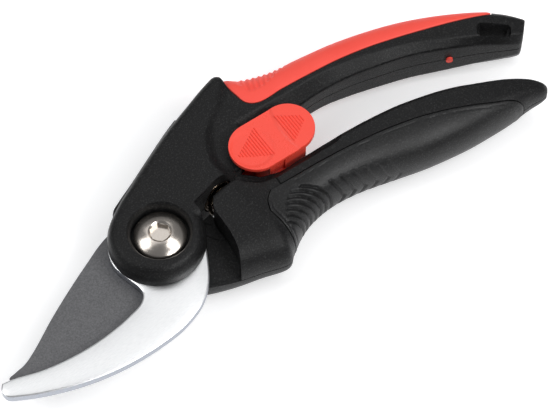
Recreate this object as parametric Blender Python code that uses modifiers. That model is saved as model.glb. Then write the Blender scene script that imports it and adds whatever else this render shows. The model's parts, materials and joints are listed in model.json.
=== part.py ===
"""Bypass pruner, about 200 mm long, lying on its back with the jaws closed.

The origin is the middle of the front boss, and the pivot axis runs along Z close to it. X runs to
the handle ends, Y towards the upper handle. Sizes are in millimetres and become metres when a
mesh is made. Shapes are drawn about the mid-plane between hook and blade, which lies MID above
the table.
"""

import math

import bmesh
import bpy
import numpy as np
from mathutils import Matrix, Vector

# ---------------------------------------------------------------- driving dimensions (mm)
MM = 0.001
GAP = 0.3                 # left between neighbouring pieces
MID = 10.4                # mid-plane above the table
SPLIT = GAP / 2           # each half shell stops this far from the mid-plane

PIVOT_AT = (1.0, -0.5)    # the bolt stands a little off the middle of the front boss
RING_R = 14.8             # outer radius of the bosses round bolt and nut
RECESS_R = 8.9            # recess that holds head and washer
RECESS_RIM = 0.8          # width and depth of the chamfer round its rim
RECESS_FLARE = 1.8
RECESS_FLOOR = 5.2
HEAD_R = 8.0
HEAD_BASE = 6.8
HEAD_TOP = 10.4
SHANK_R = 4.0
SLEEVE_R = 5.3
NUT_BORE_END = 9.2
SOCKET_ACROSS = 6.4
PLATEAU = 10.0            # height of the flat faces of both heads
NECK_TOP = 8.2            # height of the upper handle's flank beside the spring
STEEL = 3.0               # thickness of hook and blade
HOOK_TOP = 3.2

SPRING_AT = (25.0, 2.9)
SPRING_TILT = math.radians(6.5)
SPRING_R = 5.0            # centre line of the wire
SPRING_WIRE = 1.3
SPRING_TURNS = 5.5
SPRING_LOW = -7.5         # pocket floors along the spring's axis
SPRING_HIGH = 10.0
SPRING_POCKET_R = 6.0
SEAT_PLATE = 1.0
SEAT_PEG_R = 3.6
SEAT_PEG = 4.0

LOCK_AT = (46.2, 6.4)     # middle of the lock's thumb plate
LOCK_LENGTH = 28.4
LOCK_WIDTH = 16.8
LOCK_TRAVEL = 5.0
LOCK_RECESS_AT = (50.4, 6.4)
LOCK_RECESS_SIZE = (44.4, 24.8)
LOCK_RECESS_FLOOR = 7.6
LOCK_RECESS_SLOPE = 2.6
LOCK_BASE = 10.35
LOCK_TOP = 12.6
STEM_X = (41.0, 53.8)
STEM_Y = (-0.8, 9.6)
STEM_Z = (-8.1, 10.8)
TONGUE_X = (40.0, 56.0)
TONGUE_Y = (9.0, 17.6)
TONGUE_HALF = 2.0
GUIDE_PIN_AT = (45.0, 14.6)
GUIDE_PIN_R = 1.4
CLAW_X = (38.6, 46.8)
CLAW_LEG_X = 43.4
CLAW_Y = (-9.6, -7.1)
CLAW_HALF = 2.4
CATCH_AT = (36.4, -5.2)
CATCH_R = 1.5
CAP_LENGTH = 22.0         # cap that closes the lock from behind
CAP_WIDTH = 13.0
CAP_SCREW_AT = (47.0, 4.4)
CAP_SCREW_HEAD = (-9.9, -9.2)
CAP_SCREW_TIP = 2.0
DETENT_X = (42.0, 54.0)   # bowed wire behind the tongue
DETENT_R = 0.4
DETENT_ROOM = 3.2

SOFT_SKIN = 1.7           # thickness of the soft parts over the hard core
HAND_WALL = 3.2           # wall left by the hollows in the grips
HOLLOW_SHIFT = 1.4        # how far their ends stand off the stations
SCREW_R = 1.35
SCREW_HEAD_R = 2.7
SCREW_HEAD = 1.8
SCREW_SEAT = -4.8
SCREW_TIP = 5.5
DRIVE_R = 1.35
UPPER_SCREWS = ((32.5, 25.6), (66.0, 22.0), (101.5, 15.5))
LOWER_SCREWS = ((27.8, -16.6), (62.0, -11.0), (103.5, -17.5))
HOOK_PIN_AT = (16.5, 19.2)
BLADE_PIN_AT = (20.8, -15.4)
PIN_R = 1.5
PIN_HALF = 6.5

SWEEP_R = 16.0            # the back shell clears the lower ring by this radius
FEED_AT = (112.6, 3.5)    # runner that joined the red inlay to the inner face
FEED_R = 1.1
FEED_LENGTH = 13.7
SLOT_AT = (127.8, 0.8)    # lanyard slot
SLOT_SIZE = (10.0, 3.8)
SLOT_ANGLE = math.radians(-33)

# ---------------------------------------------------------------- outlines (mm, "c" is a corner)
HOOK = (
    (-62.0, -13.2, "c"), (-59.0, -13.7), (-50.0, -16.3), (-40.0, -17.6), (-30.0, -17.5),
    (-20.0, -15.9), (-14.6, -14.0), (-12.6, -11.2), (-13.3, -6.8), (-14.2, -3.4), (-14.9, 0.4),
    (-14.2, 4.6), (-11.6, 8.8), (-1.0, 14.2), (8.0, 18.6), (18.0, 23.6), (28.0, 28.3), (36.5, 31.2, "c"),
    (38.5, 28.5, "c"), (38.5, 22.0), (33.0, 17.6), (26.0, 15.6), (19.0, 15.0), (15.6, 12.0),
    (13.8, 7.0), (13.0, 1.0), (12.4, -5.0), (11.4, -8.6), (9.2, -13.4), (5.0, -20.0),
    (0.0, -24.3), (-5.0, -26.6), (-10.0, -28.0), (-20.0, -28.9), (-30.0, -28.6), (-40.0, -27.0),
    (-50.0, -24.0), (-60.0, -19.5, "c"), (-63.4, -17.2, "c"), (-63.5, -15.0, "c"),
)
BLADE_BACK = (
    (-3.0, 12.9), (-9.0, 12.3), (-14.0, 10.7), (-19.0, 8.3), (-29.0, 3.3), (-39.0, -2.2),
    (-49.0, -8.3), (-53.0, -10.2), (-57.0, -11.0), (-59.0, -11.6),
)
BLADE_EDGE = (
    (-58.6, -13.0), (-55.0, -16.4), (-50.0, -19.0), (-45.0, -20.6), (-40.0, -21.5),
    (-35.0, -21.8), (-30.0, -21.6), (-25.0, -20.9), (-20.0, -19.6), (-15.5, -17.8),
)
BLADE_TANG = (
    (-12.5, -15.0), (-9.5, -13.0), (-5.0, -13.2), (0.0, -15.2), (5.0, -18.8), (10.0, -21.0),
    (16.0, -22.2), (24.0, -22.3), (32.0, -20.8), (39.0, -17.8), (40.5, -15.2), (39.5, -12.6),
    (34.0, -11.4), (27.0, -10.9), (20.0, -10.4), (16.5, -8.4), (14.3, -5.0), (13.1, 0.0),
    (11.6, 5.6), (8.2, 10.2), (3.2, 12.7),
)
UPPER_HEAD = (
    (-13.2, 5.0), (-10.6, 9.8), (-4.0, 14.8), (3.0, 18.6), (12.0, 23.3), (22.0, 28.2),
    (32.2, 32.3), (42.2, 36.0), (45.1, 36.6), (46.3, 34.9), (44.6, 31.0), (40.5, 26.6),
    (35.8, 23.2), (31.0, 19.6), (28.0, 15.4), (26.9, 10.0), (28.6, 4.7, "c"), (24.3, 4.7),
    (20.0, 3.4), (14.0, 1.9, "c"), (8.0, -2.0), (-8.0, -2.0),
)
UPPER_NECK = (
    (20.0, 2.9, "c"), (26.0, 4.6), (33.8, 4.6, "c"), (35.4, 7.0), (35.5, 9.9, "c"),
    (38.8, 10.4, "c"), (40.0, 13.2, "c"), (42.0, 13.2, "c"),
    (42.0, 30.0, "c"), (20.0, 25.0, "c"),
)
RED_ZONE = (
    (46.6, 33.0), (47.0, 27.0), (48.0, 22.9), (50.6, 20.9), (60.0, 20.6), (70.0, 20.2),
    (80.0, 19.5), (90.0, 18.0), (100.0, 15.7), (110.0, 13.0), (120.0, 10.1),
    (130.6, 6.6, "c"), (136.0, 12.0, "c"), (100.0, 40.0, "c"), (46.5, 44.0, "c"),
)
SOFT_ZONE = (
    (36.2, -7.5), (50.0, -7.9), (60.0, -8.5), (70.0, -9.5), (80.0, -11.0), (90.0, -13.3),
    (100.0, -16.7), (110.0, -21.2), (117.5, -25.6, "c"), (118.0, -33.0, "c"),
    (33.4, -33.0, "c"), (33.4, -21.0), (32.3, -16.5), (32.0, -12.8), (33.6, -9.8),
)
FRONT_WALL = (
    (21.4, 4.0, "c"), (20.6, 0.4), (18.6, -3.0), (18.2, -8.0), (17.9, -13.0), (16.6, -19.0),
    (14.6, -23.0), (11.4, -28.5, "c"), (-30.0, -30.0, "c"), (-30.0, 8.0, "c"),
)

# Stations along the handles: inner x, y; outer x, y; half thickness; half height of the inner
# face; then, as shares of the width, where the slanted band ends and where the belly begins.
UPPER_STATIONS = (
    (20.0, 8.0, 20.0, 24.5, 8.0, 5.6, 0.30, 0.55),
    (34.0, 12.9, 34.0, 31.0, 8.4, 5.2, 0.30, 0.55),
    (46.0, 13.4, 46.3, 36.4, 8.6, 4.8, 0.25, 0.50),
    (51.0, 13.8, 51.8, 33.8, 8.7, 4.6, 0.26, 0.45),
    (60.0, 14.3, 60.6, 30.8, 8.8, 4.5, 0.26, 0.45),
    (71.0, 14.7, 72.1, 29.4, 8.8, 4.8, 0.26, 0.45),
    (81.0, 13.6, 83.1, 28.1, 8.8, 5.8, 0.26, 0.45),
    (91.0, 11.4, 95.1, 25.6, 8.8, 6.3, 0.25, 0.45),
    (101.0, 8.7, 106.3, 22.2, 8.7, 6.5, 0.22, 0.48),
    (111.1, 4.7, 117.5, 17.4, 8.5, 6.2, 0.18, 0.52),
    (122.0, 0.0, 128.8, 11.1, 8.0, 5.0, 0.14, 0.58),
    (128.2, -3.2, 135.2, 6.1, 7.2, 3.8, 0.14, 0.62),
    (133.0, -5.5, 139.3, 1.3, 6.2, 3.0, 0.16, 0.66),
    (134.6, -5.4, 140.0, 0.3, 5.6, 2.4, 0.16, 0.66),
)
LOWER_STATIONS = (
    (-3.0, -6.0, -3.0, -16.2, 9.8, 8.5, 0.08, 0.62),
    (6.0, -3.0, 6.2, -20.7, 10.0, 8.8, 0.06, 0.62),
    (13.0, -0.9, 13.2, -23.4, 10.0, 9.0, 0.05, 0.60),
    (21.0, 0.9, 21.0, -25.4, 10.0, 9.2, 0.04, 0.58),
    (28.9, 1.8, 28.9, -27.5, 10.0, 9.2, 0.03, 0.56),
    (32.0, -0.4, 32.4, -25.2, 9.6, 8.6, 0.05, 0.48),
    (36.5, -2.8, 37.0, -21.8, 9.2, 7.8, 0.08, 0.40),
    (44.0, -2.9, 44.0, -18.7, 9.2, 7.4, 0.12, 0.35),
    (53.0, -2.9, 53.0, -17.3, 9.6, 7.8, 0.11, 0.32),
    (63.0, -3.0, 63.0, -18.1, 9.9, 8.3, 0.10, 0.32),
    (75.0, -3.7, 74.4, -20.7, 10.0, 8.7, 0.09, 0.35),
    (87.0, -5.1, 85.4, -23.2, 9.9, 8.8, 0.08, 0.37),
    (101.0, -8.4, 98.0, -24.8, 9.6, 8.6, 0.08, 0.40),
    (111.1, -12.1, 107.0, -25.1, 8.9, 7.9, 0.08, 0.42),
    (119.4, -15.2, 115.6, -25.1, 7.7, 6.6, 0.08, 0.44),
    (126.0, -18.2, 122.8, -24.7, 5.8, 4.6, 0.10, 0.46),
    (129.7, -21.1, 127.4, -24.9, 3.9, 2.8, 0.12, 0.50),
    (130.8, -22.8, 129.4, -24.8, 2.2, 1.4, 0.14, 0.50),
)
BELLY_POWER = 2.3         # 2 would be an ellipse
BELLY_POINTS = 5
SPAN_STEPS = 2            # rings made between one station and the next


# ---------------------------------------------------------------- scene and helpers
def clear_scene():
    for obj in list(bpy.data.objects):
        bpy.data.objects.remove(obj, do_unlink=True)


def new_collection(name):
    group = bpy.data.collections.new(name)
    bpy.context.scene.collection.children.link(group)
    return group


def principled(name, colour, roughness, metallic=0.0):
    made = bpy.data.materials.new(name)
    made.use_nodes = True
    shader = made.node_tree.nodes["Principled BSDF"]
    shader.inputs["Base Color"].default_value = (*colour, 1.0)
    shader.inputs["Roughness"].default_value = roughness
    shader.inputs["Metallic"].default_value = metallic
    return made


def link(obj, group, material=None):
    for owner in list(obj.users_collection):
        owner.objects.unlink(obj)
    group.objects.link(obj)
    if material:
        obj.data.materials.clear()
        obj.data.materials.append(material)
    return obj


def mesh_object(name, bm):
    """An object from a bmesh drawn in mm about the mid-plane."""
    bmesh.ops.recalc_face_normals(bm, faces=bm.faces)
    bmesh.ops.transform(bm, matrix=Matrix.Scale(MM, 4), verts=bm.verts)
    mesh = bpy.data.meshes.new(name)
    bm.to_mesh(mesh)
    bm.free()
    obj = bpy.data.objects.new(name, mesh)
    obj.location.z = MID * MM
    bpy.context.scene.collection.objects.link(obj)
    return obj


def welded_mesh(obj):
    """The evaluated mesh of a curve, closed, as an object in the curve's place."""
    bpy.context.view_layer.update()
    depsgraph = bpy.context.evaluated_depsgraph_get()
    mesh = bpy.data.meshes.new_from_object(obj.evaluated_get(depsgraph))
    bm = bmesh.new()
    bm.from_mesh(mesh)
    bmesh.ops.remove_doubles(bm, verts=bm.verts, dist=0.005 * MM)
    bmesh.ops.recalc_face_normals(bm, faces=bm.faces)
    bm.to_mesh(mesh)
    bm.free()
    made = bpy.data.objects.new(obj.name, mesh)
    made.matrix_world = obj.matrix_world
    bpy.context.scene.collection.objects.link(made)
    bpy.data.objects.remove(obj, do_unlink=True)
    return made


def prism(name, outline, low, high, grow=0.0, edge=0.0, smoothness=3):
    """A flat outline between two heights, its rims rounded by `edge`, grown by `grow`."""
    curve = bpy.data.curves.new(name, "CURVE")
    curve.dimensions = "2D"
    curve.fill_mode = "BOTH"
    curve.resolution_u = smoothness
    curve.render_resolution_u = 0
    curve.extrude = ((high - low) / 2 - edge) * MM
    curve.bevel_depth = edge * MM
    curve.bevel_resolution = 0
    curve.offset = (grow - edge) * MM
    spline = curve.splines.new("BEZIER")
    spline.bezier_points.add(len(outline) - 1)
    spline.use_cyclic_u = True
    for knot, point in zip(spline.bezier_points, outline):
        knot.co = (point[0] * MM, point[1] * MM, 0)
        kind = "VECTOR" if len(point) > 2 else "AUTO"
        knot.handle_left_type = kind
        knot.handle_right_type = kind
    obj = bpy.data.objects.new(name, curve)
    obj.location.z = (MID + (low + high) / 2) * MM
    bpy.context.scene.collection.objects.link(obj)
    return welded_mesh(obj)


def box(name, x, y, z):
    bm = bmesh.new()
    bmesh.ops.create_cube(bm, size=1.0)
    size = Matrix.Diagonal((x[1] - x[0], y[1] - y[0], z[1] - z[0], 1))
    middle = Matrix.Translation((sum(x) / 2, sum(y) / 2, sum(z) / 2))
    bmesh.ops.transform(bm, matrix=middle @ size, verts=bm.verts)
    return mesh_object(name, bm)


def rod(name, radius, at, low, high, sides=24):
    """A cylinder along Z."""
    bm = bmesh.new()
    bmesh.ops.create_cone(bm, cap_ends=True, segments=sides, radius1=radius, radius2=radius,
                          depth=high - low)
    bmesh.ops.transform(bm, matrix=Matrix.Translation((*at, (low + high) / 2)), verts=bm.verts)
    return mesh_object(name, bm)


def pointing(at, direction):
    """The matrix that lays local Z along a direction in the mid-plane."""
    turn = Vector((*direction, 0)).to_track_quat("Z", "Y").to_matrix().to_4x4()
    return Matrix.Translation((*at, 0)) @ turn


def cross_rod(name, radius, start, end, sides=24):
    """A cylinder lying in the mid-plane between two points."""
    direction = Vector(end) - Vector(start)
    bm = bmesh.new()
    bmesh.ops.create_cone(bm, cap_ends=True, segments=sides, radius1=radius, radius2=radius,
                          depth=direction.length)
    middle = (Vector(start) + Vector(end)) / 2
    bmesh.ops.transform(bm, matrix=pointing(middle, direction), verts=bm.verts)
    return mesh_object(name, bm)


def turned(name, profile, steps=32):
    """A profile of (radius, height), outer side running down, turned about the pivot axis."""
    bm = bmesh.new()
    points = [bm.verts.new((r, 0, z)) for r, z in profile]
    for a, b in zip(points, points[1:]):
        bm.edges.new((a, b))
    if profile[0][0] > 0:
        bm.edges.new((points[-1], points[0]))
    obj = mesh_object(name, bm)
    screw = obj.modifiers.new("Screw", "SCREW")
    screw.steps = steps
    screw.render_steps = steps
    screw.use_merge_vertices = True
    screw.merge_threshold = 0.00001
    return obj


def on_pivot(obj):
    """Moves a turned body from the origin to the pivot axis."""
    obj.location += Vector((*PIVOT_AT, 0)) * MM
    return obj


def stadium(at, length, width, arc_points=10):
    """Outline of a slot with round ends, long side along X."""
    radius = width / 2
    points = []
    for side, start in ((1, -90), (-1, 90)):
        centre = at[0] + side * (length / 2 - radius)
        for step in range(arc_points + 1):
            angle = math.radians(start + 180 * step / arc_points)
            points.append((centre + radius * math.cos(angle), at[1] + radius * math.sin(angle)))
    return points


def loft(name, rings):
    """A closed body through rings of (x, y, z) that all have the same number of points."""
    bm = bmesh.new()
    rows = [[bm.verts.new(point) for point in ring] for ring in rings]
    count = len(rows[0])
    for near, far in zip(rows, rows[1:]):
        for i in range(count):
            j = (i + 1) % count
            bm.faces.new((near[i], near[j], far[j], far[i]))
    bm.faces.new(rows[0])
    bm.faces.new(rows[-1])
    return mesh_object(name, bm)


def boolean(obj, tool, operation="DIFFERENCE"):
    step = obj.modifiers.new(tool.name, "BOOLEAN")
    step.operation = operation
    step.solver = "EXACT"
    step.object = tool
    link(tool, cutters)
    tool.hide_render = True
    tool.display_type = "WIRE"
    return obj


def part(obj, name, material, smooth=30):
    obj.name = name
    obj.data.name = name
    if obj.type == "MESH":
        obj.data.shade_smooth()
        obj.data.set_sharp_from_angle(angle=math.radians(smooth))
    return link(obj, pruner, material)


def under(obj, axis):
    """Parent to an empty without moving."""
    bpy.context.view_layer.update()
    obj.parent = axis
    obj.matrix_parent_inverse = axis.matrix_world.inverted()


# ---------------------------------------------------------------- handle sections
def eased_stations(stations):
    """The stations with a smooth Catmull-Rom run between them."""
    table = np.array(stations, dtype=float)
    padded = np.vstack((2 * table[0] - table[1], table, 2 * table[-1] - table[-2]))
    rows = []
    for a, b, c, d in zip(padded, padded[1:], padded[2:], padded[3:]):
        for step in range(SPAN_STEPS):
            t = step / SPAN_STEPS
            rows.append(0.5 * (2 * b + (c - a) * t + (2 * a - 5 * b + 4 * c - d) * t ** 2
                               + (3 * b - a - 3 * c + d) * t ** 3))
    rows.append(table[-1])
    return rows


def section(station, inset=0.0):
    """One closed ring of the handle, shrunk by `inset` on every side."""
    ix, iy, ox, oy, half, inner, ridge, belly = station
    start = Vector((ix, iy))
    across = Vector((ox, oy)) - start
    width = across.length
    lost = min(inset, 0.45 * width) / width
    half = max(half - inset, 0.8)
    inner = max(min(inner - 0.6 * inset, half - 0.3), 0.4)
    profile = [(0.0, inner), (ridge, half)]
    for step in range(BELLY_POINTS + 1):
        angle = math.pi / 2 * step / BELLY_POINTS
        share = belly + (1 - belly) * math.sin(angle) ** (2 / BELLY_POWER)
        profile.append((share, half * max(math.cos(angle), 0.0) ** (2 / BELLY_POWER)))
    profile[-1] = (1.0, 0.0)
    ring = []
    for share, z in profile + [(share, -z) for share, z in reversed(profile[:-1])]:
        spot = start + across * (lost + (1 - 2 * lost) * share)
        ring.append((spot.x, spot.y, z))
    return ring


def handle_loft(name, stations, inset=0.0):
    return loft(name, [section(row, inset) for row in eased_stations(stations)])


def hollow(name, stations):
    """The core of the grip between two screws, left empty behind a wall all round."""
    moved = [(ix + HOLLOW_SHIFT, iy, ox + HOLLOW_SHIFT, *rest) for ix, iy, ox, *rest in stations]
    return handle_loft(name, moved, inset=HAND_WALL + SOFT_SKIN)


def other_half(name, side):
    """What a front (side 1) or back (side -1) shell loses beyond the mid-plane, as a box."""
    z = (-31, SPLIT) if side > 0 else (-SPLIT, 29)
    return box(name, (-91, 160), (-61, 70), z)


def soft_shell(name, stations, zone, depth, grow):
    """What the soft part takes from the handle: its zone, without the core below it."""
    taken = prism(name, zone, -14, 14, grow=grow)
    core = handle_loft(name + "_core", stations, inset=depth)
    return boolean(taken, core)


# ---------------------------------------------------------------- shared cutters
def spring_point(along):
    direction = Vector((-math.sin(SPRING_TILT), math.cos(SPRING_TILT)))
    return Vector(SPRING_AT) + direction * along


def cut_pivot(obj, tag):
    boolean(obj, rod("pivot_hole_" + tag, SLEEVE_R + GAP, PIVOT_AT, -20, 20, 32))


def stepped_hole(name, at, shank, head, top, seat):
    """A tool for a screw hole along Z with a wider sink for the head below `seat`."""
    tool = turned(name, ((0, top), (shank, top), (shank, seat), (head, seat), (head, -20),
                         (0, -20)), 12)
    tool.location += Vector((*at, 0)) * MM
    return tool


def cut_screws(obj, places, tag):
    for index, at in enumerate(places):
        boolean(obj, stepped_hole(f"screw_hole_{tag}_{index}", at, SCREW_R + GAP,
                                  SCREW_HEAD_R + GAP, SCREW_TIP + GAP, SCREW_SEAT + GAP))


def cut_pin(obj, at, radius, half, tag):
    boolean(obj, rod("pin_hole_" + tag, radius + GAP, at, -half - GAP, half + GAP, 16))


def cut_spring_pocket(obj, tag):
    boolean(obj, cross_rod("spring_pocket_" + tag, SPRING_POCKET_R, spring_point(SPRING_LOW),
                           spring_point(SPRING_HIGH)))


def screw(name, at, material):
    """A self-tapping screw from behind, its head sunk in the back shell."""
    head = SCREW_SEAT - SCREW_HEAD
    profile = ((0, SCREW_TIP), (0.6 * SCREW_R, SCREW_TIP), (SCREW_R, SCREW_TIP - 2.5),
               (SCREW_R, SCREW_SEAT), (SCREW_HEAD_R, SCREW_SEAT), (SCREW_HEAD_R, head + 0.6),
               (SCREW_HEAD_R - 0.6, head), (0, head))
    obj = turned(name, profile, steps=12)
    obj.location += Vector((*at, 0)) * MM
    boolean(obj, rod(name + "_drive", DRIVE_R, at, head - 1, head + 1.0, 6))
    return part(obj, name, material)


def screws(name, places, material):
    return [screw(f"{name}_{index + 1}", at, material) for index, at in enumerate(places)]


# ---------------------------------------------------------------- metal parts
def hook_blade():
    hook = prism("hook", HOOK, SPLIT, HOOK_TOP)
    cut_pivot(hook, "hook")
    cut_pin(hook, HOOK_PIN_AT, PIN_R, PIN_HALF, "hook")
    cut_pin(hook, UPPER_SCREWS[0], SCREW_R, 20, "hook_screw")
    return part(hook, "hook_blade", steel)


def cutting_blade():
    """The face towards the hook is flat; the edge is ground from behind."""
    grind = 5.0
    land = 0.4
    outline = BLADE_BACK + BLADE_EDGE + BLADE_TANG
    low_edge = []
    for index, (x, y) in enumerate(BLADE_EDGE):
        share = min(1.0, 0.35 + 0.3 * index)
        low_edge.append((x + 0.2 * grind * share, y + 0.75 * grind * share))
    low_outline = BLADE_BACK + tuple(low_edge) + BLADE_TANG
    rings = [[(x, y, z) for x, y in eased_outline(points)]
             for points, z in ((outline, -SPLIT), (outline, -SPLIT - land), (low_outline, -STEEL))]
    blade = loft("blade", rings)
    cut_pivot(blade, "blade")
    cut_pin(blade, BLADE_PIN_AT, PIN_R, PIN_HALF, "blade")
    cut_pin(blade, LOWER_SCREWS[0], SCREW_R, 20, "blade_screw")
    return part(blade, "cutting_blade", coated)


def eased_outline(points, steps=2):
    """A closed outline with a smooth run between its points."""
    table = np.array(points)
    rows = []
    for i in range(len(table)):
        a, b, c, d = (table[(i + k) % len(table)] for k in (-1, 0, 1, 2))
        for step in range(steps):
            t = step / steps
            rows.append(0.5 * (2 * b + (c - a) * t + (2 * a - 5 * b + 4 * c - d) * t ** 2
                               + (3 * b - a - 3 * c + d) * t ** 3))
    return rows


def pivot_bolt():
    dome = []
    for step in range(7):
        angle = math.pi / 2 * step / 6
        dome.append((HEAD_R * math.sin(angle),
                     HEAD_BASE + 0.5 + (HEAD_TOP - HEAD_BASE - 0.5) * math.cos(angle)))
    profile = dome + [(HEAD_R, HEAD_BASE), (SHANK_R, HEAD_BASE),
                      (SHANK_R, GAP - NUT_BORE_END), (0, GAP - NUT_BORE_END)]
    bolt = on_pivot(turned("bolt", profile, 32))
    socket_r = SOCKET_ACROSS / math.sqrt(3)
    boolean(bolt, rod("bolt_socket", socket_r, PIVOT_AT, HEAD_TOP - 3.0, HEAD_TOP + 2, 6))
    return part(bolt, "pivot_bolt", nickel)


def pivot_nut():
    bore = SHANK_R + GAP
    profile = ((0, -NUT_BORE_END), (bore, -NUT_BORE_END), (bore, -HEAD_BASE),
               (HEAD_R, -HEAD_BASE), (HEAD_R, 0.6 - HEAD_TOP), (HEAD_R - 0.6, -HEAD_TOP),
               (0, -HEAD_TOP))
    nut = on_pivot(turned("nut", profile, 32))
    for side in (-1, 1):
        spot = (PIVOT_AT[0] + side * 5.6, PIVOT_AT[1])
        boolean(nut, rod(f"spanner_hole_{side}", 1.1, spot, -HEAD_TOP - 1, 2.0 - HEAD_TOP, 12))
    return part(nut, "pivot_nut", nickel)


def washer(name, low, high):
    inner = SHANK_R + GAP
    outer = HEAD_R - 0.2
    profile = ((outer, high), (outer, low), (inner, low), (inner, high))
    return part(on_pivot(turned(name, profile, 28)), name, nickel)


def pivot_bushing():
    inner = SHANK_R + GAP
    profile = ((SLEEVE_R, RECESS_FLOOR), (SLEEVE_R, -RECESS_FLOOR), (inner, -RECESS_FLOOR),
               (inner, RECESS_FLOOR))
    return part(on_pivot(turned("bushing", profile, 28)), "pivot_bushing", nickel)


def dowel(name, at, radius, half, material):
    """A plain pin along Z with a small chamfer at both ends."""
    pin = rod(name, radius, at, -half, half, 16)
    bevel = pin.modifiers.new("Chamfer", "BEVEL")
    bevel.width = 0.3 * MM
    bevel.segments = 1
    bevel.limit_method = "ANGLE"
    bevel.angle_limit = math.radians(60)
    return part(pin, name, material)


def return_spring():
    """A compression coil with a point every 30 degrees, its ends wound flat."""
    low = SPRING_LOW + SEAT_PLATE + 2 * GAP + SPRING_WIRE / 2
    high = SPRING_HIGH - SEAT_PLATE - 2 * GAP - SPRING_WIRE / 2
    count = int(SPRING_TURNS * 12) + 1
    curve = bpy.data.curves.new("return_spring", "CURVE")
    curve.dimensions = "3D"
    curve.resolution_u = 1
    curve.render_resolution_u = 0
    curve.bevel_depth = SPRING_WIRE / 2 * MM
    curve.bevel_resolution = 2
    curve.use_fill_caps = True
    spline = curve.splines.new("POLY")
    spline.points.add(count - 1)
    turn = pointing(SPRING_AT, spring_point(1) - spring_point(0))
    for index, point in enumerate(spline.points):
        share = index / (count - 1)
        angle = 2 * math.pi * SPRING_TURNS * share
        along = low + (high - low) * share
        spot = turn @ Vector((SPRING_R * math.cos(angle), SPRING_R * math.sin(angle), along))
        point.co = (*(spot * MM), 1)
    obj = bpy.data.objects.new("return_spring", curve)
    obj.location.z = MID * MM
    bpy.context.scene.collection.objects.link(obj)
    return part(welded_mesh(obj), "return_spring", spring_steel)


def spring_seat(name, floor, inward, material):
    """A plate on the pocket floor with a peg that stands inside the coil."""
    sign = 1 if inward > 0 else -1
    plate = cross_rod(name, SPRING_POCKET_R - GAP, spring_point(floor + sign * GAP),
                      spring_point(floor + sign * (GAP + SEAT_PLATE)))
    boolean(plate, cross_rod(name + "_peg", SEAT_PEG_R, spring_point(floor + sign * 0.8),
                             spring_point(floor + sign * (SEAT_PLATE + SEAT_PEG)), 16), "UNION")
    return part(plate, name, material)


# ---------------------------------------------------------------- upper handle
def upper_body(tag):
    """Head, neck and grip of the upper handle, through the whole thickness."""
    body = handle_loft("upper_" + tag, UPPER_STATIONS)
    boolean(body, soft_shell("red_room_" + tag, UPPER_STATIONS, RED_ZONE, SOFT_SKIN + GAP, GAP))
    boolean(body, prism("upper_neck_" + tag, UPPER_NECK, -NECK_TOP, NECK_TOP, edge=1.0), "UNION")
    boolean(body, prism("upper_head_" + tag, UPPER_HEAD, -PLATEAU, PLATEAU, edge=1.6), "UNION")
    return body


def cut_upper(body, tag):
    """What both half shells of the upper handle make room for."""
    boolean(body, feed_plug("feed_hole_" + tag, GAP))
    boolean(body, hollow("upper_hollow_" + tag, UPPER_STATIONS[5:8]))
    cut_spring_pocket(body, "upper_" + tag)
    room = TONGUE_HALF + GAP
    boolean(body, box("guide_slot_" + tag, (TONGUE_X[0] - LOCK_TRAVEL - 2 * GAP,
                                            TONGUE_X[1] + 2 * GAP),
                      (TONGUE_Y[0] - 2, TONGUE_Y[1] + GAP), (-room, room)))
    boolean(body, box("detent_slot_" + tag, (DETENT_X[0] - 1, DETENT_X[1] + 1),
                      (TONGUE_Y[1], TONGUE_Y[1] + DETENT_ROOM),
                      (-DETENT_R - 2 * GAP, DETENT_R + 2 * GAP)))
    cut_screws(body, UPPER_SCREWS, "upper_" + tag)
    cut_pin(body, HOOK_PIN_AT, PIN_R, PIN_HALF, "upper_" + tag)
    cut_pin(body, GUIDE_PIN_AT, GUIDE_PIN_R, PIN_HALF, "guide_" + tag)
    slot = loft("lanyard_" + tag, [[turn_about(SLOT_AT, SLOT_ANGLE, point) + (z,)
                                    for point in stadium(SLOT_AT, *SLOT_SIZE, 6)]
                                   for z in (-20, 20)])
    boolean(body, slot)
    return body


def turn_about(centre, angle, point):
    dx = point[0] - centre[0]
    dy = point[1] - centre[1]
    return (centre[0] + dx * math.cos(angle) - dy * math.sin(angle),
            centre[1] + dx * math.sin(angle) + dy * math.cos(angle))


def feed_plug(name, grow=0.0):
    """The runner that joined the red inlay to the inner face when it was moulded."""
    start = Vector(FEED_AT)
    along = Vector((0.46, 0.888))
    return cross_rod(name, FEED_R + grow, start - along * grow, start + along * FEED_LENGTH, 12)


def boss(name, side):
    """The round boss of one head; the back one turns about the pivot."""
    flat_r = 11.4
    base = 6.2
    profile = [(0, HEAD_TOP)]
    for step in range(5):
        angle = math.pi / 2 * step / 4
        profile.append((flat_r + (RING_R - flat_r) * math.sin(angle),
                        base + (HEAD_TOP - base) * math.cos(angle)))
    foot = SPLIT + 0.1
    made = turned(name, sided(profile + [(RING_R, foot), (0, foot)], side), 28)
    return made if side > 0 else on_pivot(made)


def pivot_room(name, side):
    """A tool for the recess that holds head and washer, and the hole for the bushing."""
    over = 1.6
    profile = ((0, HEAD_TOP + over),
               (RECESS_R + RECESS_RIM * (1 + over / RECESS_FLARE), HEAD_TOP + over),
               (RECESS_R, HEAD_TOP - RECESS_FLARE), (RECESS_R, RECESS_FLOOR),
               (SLEEVE_R + GAP, RECESS_FLOOR), (SLEEVE_R + GAP, -4.0), (0, -4.0))
    return on_pivot(turned(name, sided(profile, side), 28))


def sided(profile, side):
    """The profile as it is for the front, mirrored for the back."""
    return profile if side > 0 else [(r, -z) for r, z in reversed(profile)]


def upper_front_shell():
    body = upper_body("front")
    boolean(body, other_half("upper_front_rest", 1))
    boolean(body, boss("front_boss", 1), "UNION")
    cut_upper(body, "front")
    boolean(body, prism("hook_room", HOOK, -2, HOOK_TOP + GAP, grow=GAP))
    boolean(body, pivot_room("front_pivot_room", 1))
    return part(body, "upper_front_shell", black)


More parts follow.
